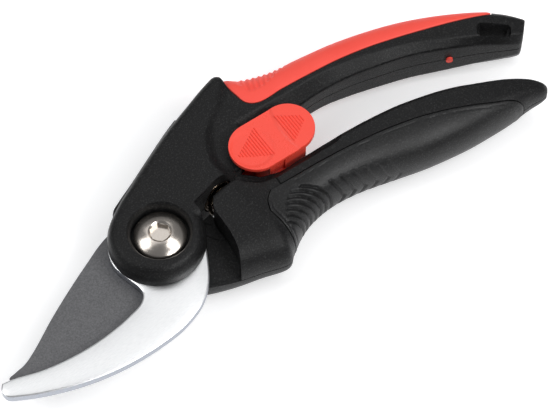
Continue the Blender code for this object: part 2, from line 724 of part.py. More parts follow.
def upper_back_shell():
    body = upper_body("back")
    boolean(body, other_half("upper_back_rest", -1))
    boolean(body, rod("ring_sweep", SWEEP_R, PIVOT_AT, -20, 20, 48))
    boolean(body, box("blade_sweep", (-40, 5), (-30, 40), (-20, 20)))
    cut_upper(body, "back")
    return part(body, "upper_back_shell", black)


def upper_grip_inlay():
    inlay = handle_loft("inlay", UPPER_STATIONS)
    boolean(inlay, prism("red_zone", RED_ZONE, -14, 14), "INTERSECT")
    boolean(inlay, handle_loft("red_core", UPPER_STATIONS, inset=SOFT_SKIN))
    boolean(inlay, feed_plug("feed_plug"), "UNION")
    return part(inlay, "upper_grip_inlay", red_soft)


# ---------------------------------------------------------------- lower handle
def lower_body(tag):
    body = handle_loft("lower_" + tag, LOWER_STATIONS)
    boolean(body, soft_shell("soft_room_" + tag, LOWER_STATIONS, SOFT_ZONE, SOFT_SKIN + GAP, GAP))
    return body


def cut_lower(body, tag):
    """What both half shells of the lower handle make room for."""
    boolean(body, hollow("lower_hollow_" + tag, LOWER_STATIONS[10:13]))
    cut_spring_pocket(body, "lower_" + tag)
    room = CLAW_HALF + 2 * GAP
    boolean(body, box("claw_slot_" + tag, (CLAW_X[0] - LOCK_TRAVEL - 2 * GAP, CLAW_X[1] + 2.0),
                      (CLAW_Y[0] - 2 * GAP, 2), (-room, room)))
    cut_screws(body, LOWER_SCREWS, "lower_" + tag)
    cut_pin(body, BLADE_PIN_AT, PIN_R, PIN_HALF, "lower_" + tag)
    cut_pin(body, CATCH_AT, CATCH_R, PIN_HALF, "catch_" + tag)
    return body


def lower_front_shell():
    body = lower_body("front")
    boolean(body, other_half("lower_front_rest", 1))
    boolean(body, prism("front_wall", FRONT_WALL, -20, 20))
    length, width = LOCK_RECESS_SIZE
    recess_rings = [[(x, y, z) for x, y in stadium(LOCK_RECESS_AT, length - 2 * shrink,
                                                   width - 2 * shrink)]
                    for z, shrink in ((PLATEAU + 1, 0.0), (LOCK_RECESS_FLOOR, LOCK_RECESS_SLOPE))]
    boolean(body, loft("lock_recess", recess_rings))
    cut_lower(body, "front")
    return part(body, "lower_front_shell", black)


def lower_back_shell():
    body = lower_body("back")
    boolean(body, other_half("lower_back_rest", -1))
    boolean(body, boss("back_boss", -1), "UNION")
    cut_lower(body, "back")
    outline = [(x, y) for x, y in eased_outline(BLADE_BACK + BLADE_EDGE + BLADE_TANG)]
    boolean(body, prism("blade_room", outline, -STEEL - GAP, 2, grow=GAP, smoothness=1))
    boolean(body, pivot_room("back_pivot_room", -1))
    return part(body, "lower_back_shell", black)


def lower_soft_grip():
    grip = handle_loft("soft_grip", LOWER_STATIONS)
    boolean(grip, prism("soft_zone", SOFT_ZONE, -14, 14), "INTERSECT")
    boolean(grip, handle_loft("soft_core", LOWER_STATIONS, inset=SOFT_SKIN))
    return part(grip, "lower_soft_grip", black_soft)


# ---------------------------------------------------------------- lock
def plate(name, length, width, low, high, edge):
    outline = stadium(LOCK_AT, length - 2 * edge, width - 2 * edge)
    outer = stadium(LOCK_AT, length, width)
    rings = [[(x, y, low) for x, y in outer], [(x, y, high - edge) for x, y in outer],
             [(x, y, high) for x, y in outline]]
    return loft(name, rings)


def lock_slider():
    slider = plate("slider", LOCK_LENGTH, LOCK_WIDTH, LOCK_BASE, LOCK_TOP, 0.8)
    boolean(slider, box("slider_stem", STEM_X, STEM_Y, STEM_Z), "UNION")
    boolean(slider, box("slider_tongue", TONGUE_X, TONGUE_Y, (-TONGUE_HALF, TONGUE_HALF)),
            "UNION")
    boolean(slider, box("claw_leg", (CLAW_LEG_X, CLAW_X[1]), (CLAW_Y[0], STEM_Y[0] + 2),
                        (-CLAW_HALF, CLAW_HALF)), "UNION")
    boolean(slider, box("claw_toe", CLAW_X, CLAW_Y, (-CLAW_HALF + 0.1, CLAW_HALF - 0.1)),
            "UNION")
    reach = GUIDE_PIN_R + GAP
    middle = (GUIDE_PIN_AT[0] + LOCK_TRAVEL / 2, GUIDE_PIN_AT[1])
    rings = [[(x, y, z) for x, y in stadium(middle, LOCK_TRAVEL + 2 * reach, 2 * reach, 6)]
             for z in (-5, 5)]
    boolean(slider, loft("tongue_slot", rings))
    boolean(slider, rod("cap_screw_room", SCREW_R + GAP, CAP_SCREW_AT, -20,
                        CAP_SCREW_TIP + 2.0, 16))
    return part(slider, "lock_slider", red_gloss)


def lock_back_cap():
    cap = plate("cap", CAP_LENGTH, CAP_WIDTH, -PLATEAU - 0.1, STEM_Z[0] - GAP, 0.0)
    boolean(cap, stepped_hole("cap_hole", CAP_SCREW_AT, SCREW_R + GAP, SCREW_HEAD_R + GAP, 0,
                              CAP_SCREW_HEAD[1] + GAP))
    return part(cap, "lock_back_cap", red_gloss)


def lock_cap_screw():
    low, high = CAP_SCREW_HEAD
    profile = ((0, CAP_SCREW_TIP), (0.5 * SCREW_R, CAP_SCREW_TIP), (SCREW_R, 0),
               (SCREW_R, high), (SCREW_HEAD_R, high), (SCREW_HEAD_R, low), (0, low))
    piece = turned("cap_screw", profile, 16)
    piece.location += Vector((*CAP_SCREW_AT, 0)) * MM
    boolean(piece, rod("cap_drive", DRIVE_R, CAP_SCREW_AT, low - 1, low + 0.4, 6))
    return part(piece, "lock_cap_screw", nickel)


def lock_detent_spring():
    """A bowed wire behind the tongue."""
    curve = bpy.data.curves.new("detent", "CURVE")
    curve.dimensions = "3D"
    curve.resolution_u = 1
    curve.render_resolution_u = 0
    curve.bevel_depth = DETENT_R * MM
    curve.bevel_resolution = 2
    curve.use_fill_caps = True
    spline = curve.splines.new("POLY")
    count = 13
    spline.points.add(count - 1)
    for index, point in enumerate(spline.points):
        share = index / (count - 1)
        x = DETENT_X[0] + (DETENT_X[1] - DETENT_X[0]) * share
        y = TONGUE_Y[1] + 0.9 + 1.4 * abs(math.cos(math.pi * share)) ** 1.5
        point.co = (x * MM, y * MM, 0, 1)
    obj = bpy.data.objects.new("detent", curve)
    obj.location.z = MID * MM
    bpy.context.scene.collection.objects.link(obj)
    return part(welded_mesh(obj), "lock_detent_spring", spring_steel)


# ---------------------------------------------------------------- the object
clear_scene()
pruner = new_collection("Bypass pruner")
cutters = new_collection("Cutters")
cutters.hide_render = True

steel = principled("Brushed steel", (0.75, 0.75, 0.76), 0.30, 1.0)
coated = principled("Dark coating", (0.14, 0.14, 0.15), 0.38, 0.6)
nickel = principled("Nickel", (0.62, 0.57, 0.52), 0.20, 1.0)
spring_steel = principled("Spring steel", (0.05, 0.045, 0.04), 0.35, 0.9)
black = principled("Black nylon", (0.028, 0.028, 0.029), 0.55)
black_soft = principled("Black soft grip", (0.025, 0.025, 0.026), 0.68)
red_soft = principled("Red soft inlay", (0.92, 0.11, 0.075), 0.50)
red_gloss = principled("Red nylon", (0.92, 0.10, 0.06), 0.38)

for make in (hook_blade, upper_front_shell, upper_back_shell, upper_grip_inlay, pivot_bolt,
             pivot_nut, pivot_bushing):
    make()
washer("pivot_head_washer", RECESS_FLOOR + GAP, HEAD_BASE - GAP)
washer("pivot_nut_washer", GAP - HEAD_BASE, -RECESS_FLOOR - GAP)
screws("upper_handle_screw", UPPER_SCREWS, nickel)
dowel("hook_tang_pin", HOOK_PIN_AT, PIN_R, PIN_HALF, nickel)
dowel("lock_guide_pin", GUIDE_PIN_AT, GUIDE_PIN_R, PIN_HALF, nickel)
spring_seat("upper_spring_seat", SPRING_HIGH, -1, black)
lock_detent_spring()
return_spring()

lower_axis = bpy.data.objects.new("lower_handle_axis", None)
lower_axis.location = (PIVOT_AT[0] * MM, PIVOT_AT[1] * MM, 0)
pruner.objects.link(lower_axis)
lower_parts = [make() for make in (cutting_blade, lower_front_shell, lower_back_shell,
                                   lower_soft_grip)]
lower_parts += screws("lower_handle_screw", LOWER_SCREWS, nickel)
lower_parts.append(dowel("blade_tang_pin", BLADE_PIN_AT, PIN_R, PIN_HALF, nickel))
lower_parts.append(dowel("lock_catch_pin", CATCH_AT, CATCH_R, PIN_HALF, nickel))
lower_parts.append(spring_seat("lower_spring_seat", SPRING_LOW, 1, black))
for piece in lower_parts:
    under(piece, lower_axis)

lock_axis = bpy.data.objects.new("lock_slide_axis", None)
lock_axis.location = (LOCK_AT[0] * MM, LOCK_AT[1] * MM, MID * MM)
pruner.objects.link(lock_axis)
for piece in (lock_slider(), lock_back_cap(), lock_cap_screw()):
    under(piece, lock_axis)
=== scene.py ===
"""The looks of the bypass pruner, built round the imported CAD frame.

Lengths are in millimetres from the middle of the front boss: X to the handle ends, Y to the upper
handle, Z up from the mid-plane between hook and blade. They become metres when a mesh is made.
"""

import json
import math

import bmesh
import bpy
import numpy as np
from mathutils import Matrix, Vector


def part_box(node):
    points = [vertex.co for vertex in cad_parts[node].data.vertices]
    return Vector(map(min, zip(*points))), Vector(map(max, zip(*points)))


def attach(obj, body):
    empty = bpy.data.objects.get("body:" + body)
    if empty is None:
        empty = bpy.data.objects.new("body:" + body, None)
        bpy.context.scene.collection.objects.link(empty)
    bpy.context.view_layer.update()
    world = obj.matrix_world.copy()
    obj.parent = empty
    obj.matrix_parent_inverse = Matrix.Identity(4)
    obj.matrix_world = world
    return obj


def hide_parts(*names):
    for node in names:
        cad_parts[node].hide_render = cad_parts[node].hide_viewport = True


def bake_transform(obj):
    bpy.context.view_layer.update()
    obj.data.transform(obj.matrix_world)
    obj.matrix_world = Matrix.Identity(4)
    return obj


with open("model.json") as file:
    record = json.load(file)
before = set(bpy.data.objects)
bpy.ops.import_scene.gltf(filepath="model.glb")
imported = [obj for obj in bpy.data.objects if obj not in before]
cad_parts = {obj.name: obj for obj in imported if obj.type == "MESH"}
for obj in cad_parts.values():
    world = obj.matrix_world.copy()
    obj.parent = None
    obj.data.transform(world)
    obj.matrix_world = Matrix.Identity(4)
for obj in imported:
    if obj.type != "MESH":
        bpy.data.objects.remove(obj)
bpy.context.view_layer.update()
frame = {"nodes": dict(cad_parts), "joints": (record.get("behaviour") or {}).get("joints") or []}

# ---------------------------------------- sizes from the frame
MM = 0.001
HINGE = next(j for j in frame["joints"] if j["name"] == "lower_handle_hinge")
SLIDE = next(j for j in frame["joints"] if j["name"] == "lock_slide")
ORIGIN = Vector((0, 0, HINGE["pos_m"][2]))
PIVOT_AT = (HINGE["pos_m"][0] / MM, HINGE["pos_m"][1] / MM)


def cad_box(node):
    """A node's low and high corners in mm from the origin."""
    low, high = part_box(node)
    return (low - ORIGIN) / MM, (high - ORIGIN) / MM


def cad_middle(node):
    low, high = cad_box(node)
    return (low + high) / 2


GAP = 0.3
SPLIT = GAP / 2
BOLT_LOW, BOLT_HIGH = cad_box("pivot_bolt")
HEAD_R = (BOLT_HIGH.x - BOLT_LOW.x) / 2
HEAD_TOP = BOLT_HIGH.z
HEAD_BASE = cad_box("pivot_head_washer")[1].z + GAP
HOOK_TOP = cad_box("hook_blade")[1].z
BLADE_BOTTOM = cad_box("cutting_blade")[0].z
BUSHING_LOW, BUSHING_HIGH = cad_box("pivot_bushing")
SLEEVE_R = (BUSHING_HIGH.x - BUSHING_LOW.x) / 2
RECESS_FLOOR = BUSHING_HIGH.z
NUT_LOW, NUT_HIGH = cad_box("pivot_nut")
LOCK_AT = cad_middle("lock_back_cap")
LOCK_TRAVEL = SLIDE["range_m"][1] / MM
LOCK_TOP = cad_box("lock_slider")[1].z
SPRING_START = cad_middle("lower_spring_seat")
SPRING_END = cad_middle("upper_spring_seat")
HOOK_PIN_AT = cad_middle("hook_tang_pin")
BLADE_PIN_AT = cad_middle("blade_tang_pin")
GUIDE_PIN_AT = cad_middle("lock_guide_pin")
CATCH_AT = cad_middle("lock_catch_pin")
CAP_SCREW_AT = cad_middle("lock_cap_screw")
UPPER_SCREWS = [cad_middle(f"upper_handle_screw_{i}") for i in (1, 2, 3)]
LOWER_SCREWS = [cad_middle(f"lower_handle_screw_{i}") for i in (1, 2, 3)]

# ---------------------------------------- sizes of the shapes (mm)
RING_R = 14.8
RING_FLAT_R = 11.2
RING_BASE = 5.4
RECESS_R = 8.9
RECESS_RIM = 0.8
RECESS_FLARE = 1.8
SHANK_R = 4.0
PLATEAU = 10.0
NECK_TOP = 8.2
THUMB_PITCH = 0.92
SPRING_R = 5.0
SPRING_WIRE = 1.3
SPRING_TURNS = 5.5
SPRING_REACH = 13.0
SPRING_POCKET_R = 6.0
LOCK_LENGTH = 28.4
LOCK_WIDTH = 16.8
LOCK_BASE = 10.35
LOCK_RECESS_AT = (50.4, 6.4)
LOCK_RECESS_SIZE = (44.4, 24.8)
SCREW_ROOM_R = 1.35 + GAP
SCREW_HEAD_ROOM_R = 2.7 + GAP
PIN_R = 1.5
PIN_HALF = 6.5
SOFT_SKIN = 1.7
SWEEP_R = 16.0
SCREW_SEAT = -4.8
SCREW_TIP = 5.5
FEED_R = 1.1
FEED_REACH = 13.7
FEED_AT = Vector((112.6, 3.5, 0))
FEED_ALONG = Vector((0.46, 0.888, 0)).normalized()
LANYARD_AT = (127.8, 0.8)
LANYARD_ANGLE = math.radians(-33)
CUT = 20.0
SIDE_CUT = ((-CUT, 0.0), (CUT, 0.0))

# how finely shapes are made
MITRE_LIMIT = 0.35
TINY = 1e-9
WELD = 0.002
VOXEL = 0.36
SMOOTHING = 6
ZONE_STEP = 0.6

# x, y and z ranges of square rooms and of the square parts of the lock
BLADE_SWEEP = ((-40, 5), (-30, 40), (-CUT, CUT))
GUIDE_SLOT = ((34.4, 56.6), (7.0, 17.9), (-2.3, 2.3))
DETENT_SLOT = ((41, 55), (17.6, 20.8), (-1.0, 1.0))
CLAW_SLOT = ((33.0, 48.8), (-10.2, 2), (-3.0, 3.0))
TONGUE = ((40.0, 56.0), (9.0, 17.6), (-2.0, 2.0))
CLAW_LEG = ((43.4, 46.8), (-9.6, 1.2), (-2.4, 2.4))
CLAW_TOE = ((38.6, 46.8), (-9.6, -7.1), (-2.3, 2.3))
STEM_NOTCH = ((40.0, 46.2), (-2.0, -0.2), (3.0, LOCK_BASE - 1.4))

# outlines in the side view: x, y and "c" for a corner
STEM = ((41.0, -0.8, "c"), (53.8, -0.8, "c"), (53.8, 9.6, "c"), (41.0, 9.6, "c"))
LANYARD = (
    (-5, -1.2, "c"), (-4.3, -1.9, "c"), (4.3, -1.9, "c"), (5, -1.2, "c"), (5, 1.2, "c"),
    (4.3, 1.9, "c"), (-4.3, 1.9, "c"), (-5, 1.2, "c"))
HOOK = (
    (-62, -13.2, "c"), (-59, -13.7), (-50, -16.3), (-40, -17.6), (-30, -17.5), (-20, -15.9),
    (-14.6, -14), (-12.6, -11.2), (-13.3, -6.8), (-14.2, -3.4), (-14.9, 0.4), (-14.2, 4.6),
    (-11.6, 8.8), (-1, 14.2), (8, 18.6), (18, 23.6), (28, 28.3), (36.5, 31.2, "c"),
    (38.5, 28.5, "c"), (38.5, 22), (33, 17.6), (26, 15.6), (19, 15), (15.6, 12), (13.8, 7),
    (13, 1), (12.4, -5), (11.4, -8.6), (9.2, -13.4), (5, -20), (0, -24.3), (-5, -26.6), (-10, -28),
    (-20, -28.9), (-30, -28.6), (-40, -27), (-50, -24), (-60, -19.5), (-63, -17.4), (-63.3, -15))
BLADE_BACK = (
    (-3, 12.9), (-9, 12.3), (-14, 10.7), (-19, 8.3), (-29, 3.3), (-39, -2.2), (-49, -8.3),
    (-53, -10.2), (-57, -11), (-59, -11.6))
BLADE_EDGE = (
    (-58.6, -13), (-55, -16.4), (-50, -19), (-45, -20.6), (-40, -21.5), (-35, -21.8), (-30, -21.6),
    (-25, -20.9), (-20, -19.6), (-15.5, -17.8))
BLADE_TANG = (
    (-12.5, -15), (-9.5, -13), (-5, -13.2), (0, -15.2), (5, -18.8), (10, -21), (16, -22.2),
    (24, -22.3), (32, -20.8), (39, -17.8), (40.5, -15.2), (39.5, -12.6), (34, -11.4), (27, -10.9),
    (20, -10.4), (16.5, -8.4), (14.3, -5), (13.1, 0), (11.6, 5.6), (8.2, 10.2), (3.2, 12.7))
UPPER_HEAD = (
    (-13.2, 5), (-10.6, 9.8), (-4, 14.8), (3, 18.6), (12, 23.3), (22, 28.2), (32.2, 32.3),
    (42.2, 36), (45.1, 36.6), (46.9, 35.4), (48.6, 31), (47, 24), (42, 18), (36, 12), (33, 6),
    (33, 0, "c"), (14, -3, "c"), (8, -4), (-8, -4))
LOCK_BOWL = (
    (47.5, 38, "c"), (46.2, 35), (44.9, 32.5), (40.2, 28), (36.4, 25.1), (32.6, 22), (29, 17.2),
    (27.1, 12.7), (26.6, 9.1), (27.4, 4.6), (28.6, 0, "c"), (60, 0, "c"), (66, 20, "c"),
    (60, 38, "c"))
JAW_GAP = (
    (14.65, 2, "c"), (20, 3.4), (24.3, 4.7), (28.6, 4.7, "c"), (33.8, 4.6, "c"), (33.8, -14, "c"),
    (4.5, -14.1, "c"), (8.4, -12.2), (11.6, -9.2), (13.7, -5.6), (14.7, -1.6))
UPPER_NECK = (
    (20, 2.9, "c"), (26, 4.6), (33.8, 4.6, "c"), (35.4, 7), (35.5, 9.9, "c"), (38.8, 10.4, "c"),
    (40, 13.2, "c"), (42, 13.2, "c"), (42, 30, "c"), (20, 25, "c"))
HOOK_HOUSING = (
    (-8, 8, "c"), (-6.4, 14.4), (-2, 17.2), (3, 19.6), (12, 24.2), (22, 29.2), (27.4, 31.6, "c"),
    (30, 20, "c"), (8, 6, "c"))
RED_ZONE = (
    (46.6, 33), (47, 27), (48, 22.9), (50.6, 20.9), (60, 20.6), (70, 20.2), (80, 19.5), (90, 18),
    (100, 15.7), (110, 13), (120, 10.1), (130.6, 6.6, "c"), (136, 12, "c"), (100, 40, "c"),
    (46.5, 44, "c"))
SOFT_ZONE = (
    (36.2, -7.5, "c"), (50, -7.9), (60, -8.5), (70, -9.5), (80, -11), (90, -13.3), (100, -16.7),
    (110, -20.7), (117, -23.2), (122.5, -26.6, "c"), (123, -33, "c"), (33.4, -33, "c"),
    (33.4, -21), (32.6, -16.5), (32, -13.4, "c"), (33.6, -9.8))
LOCK_LIP = (
    (29, 0.5, "c"), (30.2, 3.2), (32.2, 3), (34.2, 1.4), (35.4, 0.2), (36.6, -1.2, "c"),
    (44, -3.4, "c"), (44, -7, "c"), (30, -7, "c"))
FRONT_WALL = (
    (21.4, 4, "c"), (20.6, 0.4), (18.6, -3), (18.2, -8), (17.9, -13), (16.6, -19), (14.6, -23),
    (11.4, -28.5, "c"), (-30, -30, "c"), (-30, 8, "c"))
# the line from which the lower handle's face falls away
KNEE = ((26, 3), (27, -5), (28, -11), (31, -20), (31.5, -24))

# Stations along the handles: inner x, y; outer x, y; half thickness; half height of the inner
# face; then, as shares of the width, where the slanted band ends and where the belly begins.
UPPER_STATIONS = (
    (20.0, 8.0, 20.0, 24.5, 8.0, 5.6, 0.30, 0.55),
    (34.0, 12.9, 34.0, 31.0, 8.4, 5.2, 0.30, 0.55),
    (46.0, 13.4, 46.3, 36.4, 8.6, 4.8, 0.25, 0.50),
    (51.0, 13.8, 51.8, 33.8, 8.7, 4.6, 0.26, 0.45),
    (60.0, 14.3, 60.6, 30.8, 8.8, 4.5, 0.26, 0.45),
    (71.0, 14.7, 72.1, 29.4, 8.8, 4.8, 0.26, 0.45),
    (81.0, 13.6, 83.1, 28.1, 8.8, 5.8, 0.26, 0.45),
    (91.0, 11.4, 95.1, 25.6, 8.8, 6.3, 0.25, 0.45),
    (101.0, 8.7, 106.3, 22.2, 8.7, 6.5, 0.22, 0.48),
    (111.1, 4.7, 117.5, 17.4, 8.5, 6.2, 0.18, 0.52),
    (122.0, 0.0, 128.8, 11.1, 8.0, 5.0, 0.14, 0.58),
    (128.2, -3.2, 135.2, 6.1, 7.2, 3.8, 0.14, 0.62),
    (133.0, -5.5, 139.3, 1.3, 6.2, 3.0, 0.16, 0.66),
    (134.6, -5.4, 140.0, 0.3, 5.6, 2.4, 0.16, 0.66),
)
LOWER_STATIONS = (
    (-3.0, -6.0, -3.0, -16.2, 9.8, 8.5, 0.08, 0.62),
    (6.0, -3.0, 6.2, -20.7, 10.0, 8.8, 0.06, 0.62),
    (13.0, -0.9, 13.2, -23.4, 10.0, 9.0, 0.05, 0.60),
    (21.0, 0.9, 21.0, -25.4, 10.0, 9.2, 0.04, 0.58),
    (28.9, 1.8, 28.9, -27.5, 10.0, 9.2, 0.03, 0.56),
    (32.0, -0.4, 32.4, -25.2, 9.6, 8.6, 0.05, 0.48),
    (36.5, -2.8, 37.0, -21.8, 9.2, 7.8, 0.08, 0.40),
    (44.0, -2.9, 44.0, -18.7, 9.2, 7.4, 0.12, 0.35),
    (53.0, -2.9, 53.0, -17.3, 9.6, 7.8, 0.11, 0.32),
    (63.0, -3.0, 63.0, -18.1, 9.9, 8.3, 0.10, 0.32),
    (75.0, -3.7, 74.4, -20.7, 10.0, 8.7, 0.09, 0.35),
    (87.0, -5.1, 85.4, -23.2, 9.9, 8.8, 0.08, 0.37),
    (101.0, -8.4, 98.0, -24.8, 9.6, 8.6, 0.08, 0.40),
    (111.1, -12.1, 107.0, -25.1, 8.9, 7.9, 0.08, 0.42),
    (119.4, -15.2, 115.6, -25.1, 7.7, 6.6, 0.08, 0.44),
    (126.0, -18.2, 122.8, -24.7, 5.8, 4.6, 0.10, 0.46),
    (129.7, -21.1, 127.4, -24.9, 3.9, 2.8, 0.12, 0.50),
    (130.8, -22.8, 129.4, -24.8, 2.2, 1.4, 0.14, 0.50),
)
BELLY_POWER = 2.3


# ---------------------------------------- outlines
def eased(points, spacing=0.5):
    """A closed outline with a smooth run between its points; a third value marks a corner."""
    spots = [np.array(p[:2], float) for p in points]
    corners = [len(p) > 2 for p in points]
    count = len(spots)

    def heading(i):
        after = spots[(i + 1) % count] - spots[i]
        before = spots[i] - spots[i - 1]
        both = after / np.linalg.norm(after) + before / np.linalg.norm(before)
        return both / max(np.linalg.norm(both), TINY)

    rows = []
    for i in range(count):
        a, b = spots[i], spots[(i + 1) % count]
        length = np.linalg.norm(b - a)
        straight = (b - a) / length
        leave = straight if corners[i] else heading(i)
        arrive = straight if corners[(i + 1) % count] else heading((i + 1) % count)
        steps = max(1, int(math.ceil(length / spacing)))
        if corners[i] and corners[(i + 1) % count]:
            steps = 1
        for step in range(steps):
            t = step / steps
            rows.append((2 * t ** 3 - 3 * t ** 2 + 1) * a
                        + (t ** 3 - 2 * t ** 2 + t) * length * leave
                        + (3 * t ** 2 - 2 * t ** 3) * b + (t ** 3 - t ** 2) * length * arrive)
    return np.array(rows)


def area(outline):
    x, y = outline[:, 0], outline[:, 1]
    return 0.5 * np.sum(x * np.roll(y, -1) - np.roll(x, -1) * y)


def moved_out(outline, distance):
    """The outline with each point moved outward, sharp corners mitred."""
    turn = 1 if area(outline) > 0 else -1
    after = np.roll(outline, -1, axis=0) - outline
    after /= np.linalg.norm(after, axis=1)[:, None]
    normal = np.stack((after[:, 1], -after[:, 0]), axis=1) * turn
    before = np.roll(normal, 1, axis=0)
    share = np.maximum(1 + np.sum(normal * before, axis=1), MITRE_LIMIT)
    return outline + (normal + before) / share[:, None] * distance


def stadium(at, length, width, arc_points=24):
    radius = width / 2
    points = []
    for side, start in ((1, -90), (-1, 90)):
        centre = at[0] + side * (length / 2 - radius)
        for step in range(arc_points + 1):
            angle = math.radians(start + 180 * step / arc_points)
            points.append((centre + radius * math.cos(angle), at[1] + radius * math.sin(angle)))
    return np.array(points)


# ---------------------------------------- meshes
def placed(name, data):
    """A new object in the scene."""
    obj = bpy.data.objects.new(name, data)
    bpy.context.scene.collection.objects.link(obj)
    return obj


def new_mesh(name, points, faces):
    """An object from points in mm and faces, its normals turned outward."""
    mesh = bpy.data.meshes.new(name)
    spots = np.asarray(points, float) * MM + np.array(ORIGIN)
    mesh.from_pydata(spots.tolist(), [], faces)
    bm = bmesh.new()
    bm.from_mesh(mesh)
    bmesh.ops.remove_doubles(bm, verts=bm.verts, dist=WELD * MM)
    bmesh.ops.recalc_face_normals(bm, faces=bm.faces)
    bmesh.ops.triangulate(bm, faces=[f for f in bm.faces if len(f.verts) > 4])
    bm.to_mesh(mesh)
    bm.free()
    return placed(name, mesh)


def bands(rows, count, closed=False):
    """Faces from each ring of points to the next, and from the last to the first if closed."""
    faces = []
    for row in range(rows if closed else rows - 1):
        here, after = row * count, (row + 1) % rows * count
        for i in range(count):
            j = (i + 1) % count
            faces.append((here + i, here + j, after + j, after + i))
    return faces


def loft(name, rings):
    """A closed body through rings of (x, y, z) with the same number of points, capped."""
    rings = np.asarray(rings, float)
    rows, count = rings.shape[:2]
    ends = [tuple(range(count)), tuple(range((rows - 1) * count, rows * count))]
    return new_mesh(name, rings.reshape(-1, 3), bands(rows, count) + ends)


def quarter(steps):
    """Cosines and sines at even steps over a quarter turn."""
    angles = [math.pi / 2 * step / steps for step in range(steps + 1)]
    return [(math.cos(angle), math.sin(angle)) for angle in angles]


def rounding(low, high, bottom, top, steps=5):
    """Heights and outward moves of a slab's rings, its two rims rounded."""
    lower, upper = ([(z + sign * radius * (1 - sin), -radius * (1 - cos))
                     for cos, sin in quarter(steps)]
                    for radius, z, sign in ((bottom, low, 1), (top, high, -1)))
    return lower[::-1] + upper


def ring_at(outline, z, move=0.0):
    """An outline at a height, moved outward."""
    ring = moved_out(outline, move) if move else outline
    return np.column_stack((ring, np.full(len(ring), z)))


def slab(name, outline, stack):
    """An outline through a stack of (height, outward move)."""
    return loft(name, [ring_at(outline, z, move) for z, move in stack])


def turned(name, profile, at=(0, 0), steps=96):
    """A profile of (radius, height) turned about Z at a point."""
    angles = np.arange(steps) * 2 * math.pi / steps
    points = [(at[0] + r * math.cos(angle), at[1] + r * math.sin(angle), z)
              for r, z in profile for angle in angles]
    closed = profile[0][0] > 0
    faces = bands(len(profile), steps, closed)
    # points on the axis fall together, so the fans there lose their repeated corner
    return new_mesh(name, points, faces) if closed else welded(name, points, faces)


def welded(name, points, faces):
    """A mesh whose points that fall together are one, its faces without repeated corners."""
    keys = [tuple(round(c, 4) for c in point) for point in points]
    kept = {}
    for key, point in zip(keys, points):
        kept.setdefault(key, (len(kept), point))
    index = [kept[key][0] for key in keys]
    made = [tuple(dict.fromkeys(index[i] for i in face)) for face in faces]
    return new_mesh(name, [point for _, point in kept.values()],
                    [face for face in made if len(face) > 2])


def rod(name, radius, at, low, high, steps=48):
    return turned(name, ((0, high), (radius, high), (radius, low), (0, low)), at, steps)


def box(name, x, y, z):
    outline = np.array([(x[0], y[0]), (x[1], y[0]), (x[1], y[1]), (x[0], y[1])], float)
    return slab(name, outline, ((z[0], 0.0), (z[1], 0.0)))


def aimed(obj, at, along):
    """The object turned from Z to a direction and moved from the origin to a point in mm."""
    turn = along.to_track_quat("Z", "Y").to_matrix().to_4x4()
    about = Matrix.Translation(ORIGIN)
    obj.data.transform(about @ Matrix.Translation(at * MM) @ turn @ about.inverted())
    return obj


def spring_pocket():
    """The round room about the spring's axis."""
    made = rod("pocket", SPRING_POCKET_R, (0, 0), -9.6, 9.6, 64)
    return aimed(made, (SPRING_START + SPRING_END) / 2, SPRING_END - SPRING_START)


def applied(obj):
    """The object with its modifiers made real."""
    bpy.context.view_layer.update()
    depsgraph = bpy.context.evaluated_depsgraph_get()
    mesh = bpy.data.meshes.new_from_object(obj.evaluated_get(depsgraph))
    old = obj.data
    obj.modifiers.clear()
    obj.data = mesh
    bpy.data.meshes.remove(old)
    return obj


def combine(obj, tools, operation="DIFFERENCE"):
    """Cuts the tools from the object or joins them to it, one by one."""
    for tool in tools:
        step = obj.modifiers.new("Boolean", "BOOLEAN")
        step.operation = operation
        step.solver = "MANIFOLD"
        step.object = tool
        applied(obj)
        bpy.data.objects.remove(tool, do_unlink=True)
    return obj


def moulded(name, bodies):
    """Several overlapping bodies as one skin with small fillets where they meet."""
    points, faces = [], []
    for body in bodies:
        start = len(points)
        points += [v.co[:] for v in body.data.vertices]
        faces += [tuple(start + i for i in p.vertices) for p in body.data.polygons]
        bpy.data.objects.remove(body, do_unlink=True)
    mesh = bpy.data.meshes.new(name)
    mesh.from_pydata(points, [], faces)
    obj = placed(name, mesh)
    remesh = obj.modifiers.new("Remesh", "REMESH")
    remesh.mode = "VOXEL"
    remesh.voxel_size = VOXEL * MM
    smooth = obj.modifiers.new("Smooth", "SMOOTH")
    smooth.factor = 0.5
    smooth.iterations = SMOOTHING
    return applied(obj)


def piece(obj, name, body, material, replaces, sharp=35):
    """Finishes a piece: name, smooth shading, material, the body that it rides on."""
    obj.name = name
    obj.data.name = name
    obj.data.shade_smooth()
    obj.data.set_sharp_from_angle(angle=math.radians(sharp))
    obj.data.materials.clear()
    obj.data.materials.append(material)
    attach(obj, body)
    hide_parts(*replaces)


# ---------------------------------------- handle sections
def station_at(stations, places):
    """Catmull-Rom rows of the station table at places between 0 and its last index."""
    table = np.array(stations, float)
    padded = np.vstack((2 * table[0] - table[1], table, 2 * table[-1] - table[-2]))
    places = np.clip(np.asarray(places, float), 0, len(table) - 1)
    index = np.minimum(places.astype(int), len(table) - 2)
    t = (places - index)[:, None]
    a, b, c, d = (padded[index + k] for k in range(4))
    return 0.5 * (2 * b + (c - a) * t + (2 * a - 5 * b + 4 * c - d) * t ** 2
                  + (3 * b - a - 3 * c + d) * t ** 3)


